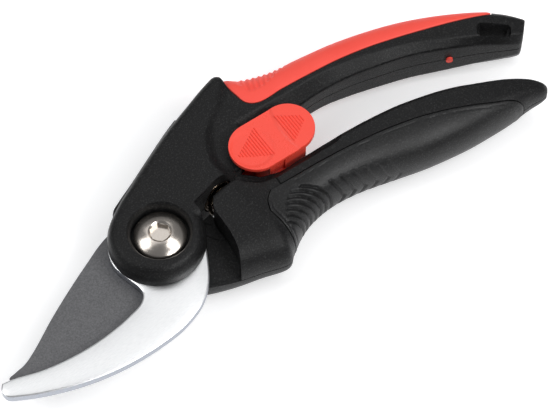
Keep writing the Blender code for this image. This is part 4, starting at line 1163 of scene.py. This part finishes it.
def lock_back_cap():
    low, high = cad_box("lock_back_cap")
    outline = stadium(LOCK_AT, high.x - low.x, high.y - low.y, 32)
    cap = slab("cap", outline, rounding(low.z, high.z, 0.6, 0.15))
    seat = cad_box("lock_cap_screw")[0].z + 0.7 + GAP
    profile = ((0, 5), (SCREW_ROOM_R, 5), (SCREW_ROOM_R, seat), (SCREW_HEAD_ROOM_R, seat),
               (SCREW_HEAD_ROOM_R, low.z + 0.3), (SCREW_HEAD_ROOM_R + 0.8, low.z - 0.5),
               (0, low.z - 0.5))
    hole = turned("cap_hole", profile, CAP_SCREW_AT[:2], 48)
    grooves = [box("groove", (x, x + 0.7), (low.y + 2.6, high.y - 2.6), (low.z - 1, low.z + 0.35))
               for x in (37.6, 39.2, 40.8, 52.6, 54.2)]
    combine(cap, [hole] + grooves)
    piece(cap, "lock_cap_back", "lock", RED_GLOSS, ["lock_back_cap"], 30)


# ---------------------------------------- the object
hook_blade()
cutting_blade()
pivot_bolt()
pivot_nut()
washer("washer_under_head", "pivot_head_washer")
washer("washer_under_nut", "pivot_nut_washer")
return_spring()
for facing in (1, -1):
    upper_shell(facing)
    lower_shell(facing)
upper_inlay()
lower_grip()
lock_slider()
lock_back_cap()

# CAD pieces that stay: their finish only
FINISHES = {"upper_spring_seat": (BLACK, "black_nylon"),
            "lower_spring_seat": (BLACK, "black_nylon"),
            "lock_detent_spring": (WIRE, "spring_steel")}
for node, kept in frame["nodes"].items():
    if kept.hide_render:
        continue
    material, slot = FINISHES.get(node, (NICKEL, "nickel"))
    kept.data.materials.clear()
    kept.data.materials.append(material)


# ---------------------------------------- floor, light, camera
def softbox(name, towards, distance, size, power):
    lamp = bpy.data.lights.new(name, "AREA")
    lamp.shape = "RECTANGLE"
    lamp.size, lamp.size_y = size
    lamp.energy = power
    obj = placed(name, lamp)
    aim = Vector((0.04, 0.0, 0.01))
    direction = Vector(towards).normalized()
    obj.location = aim + direction * distance
    obj.rotation_euler = direction.to_track_quat("Z", "Y").to_euler()


sheet = bpy.data.meshes.new("floor")
reach = 3.0
sheet.from_pydata([(-reach, -reach, 0), (reach, -reach, 0), (reach, reach, 0),
                  (-reach, reach, 0)], [], [(0, 1, 2, 3)])
ground = placed("floor", sheet)
paper = shader("Floor", (0.97, 0.97, 0.975), 0.9, specular=0.1)
inputs = paper.node_tree.nodes["Principled BSDF"].inputs
inputs["Emission Color"].default_value = (1, 1, 1, 1)
inputs["Emission Strength"].default_value = 0.3
sheet.materials.append(paper)

softbox("left_box", (-0.60, 0.33, 0.72), 0.9, (0.4, 0.4), 1.8)
softbox("right_box", (0.33, -0.38, 0.86), 0.9, (0.4, 0.4), 1.8)
softbox("front_box", (0.235, -0.68, 0.69), 1.0, (0.7, 0.25), 4.6)
softbox("back_box", (0.14, 0.38, 0.89), 1.1, (1.3, 1.3), 4.5)

lens = bpy.data.cameras.new("camera")
lens.lens = 135
lens.sensor_width = 36
eye = placed("camera", lens)
eye.location = Vector((-0.14236, -0.26454, 0.54127)) + ORIGIN
eye.rotation_euler = (math.radians(30), 0, math.radians(-35))
bpy.context.scene.camera = eye

world = bpy.data.worlds.new("studio")
world.use_nodes = True
world.node_tree.nodes["Background"].inputs["Color"].default_value = (0.95, 0.97, 1.0, 1)
world.node_tree.nodes["Background"].inputs["Strength"].default_value = 0.2
bpy.context.scene.world = world
bpy.context.scene.view_settings.view_transform = "Standard"
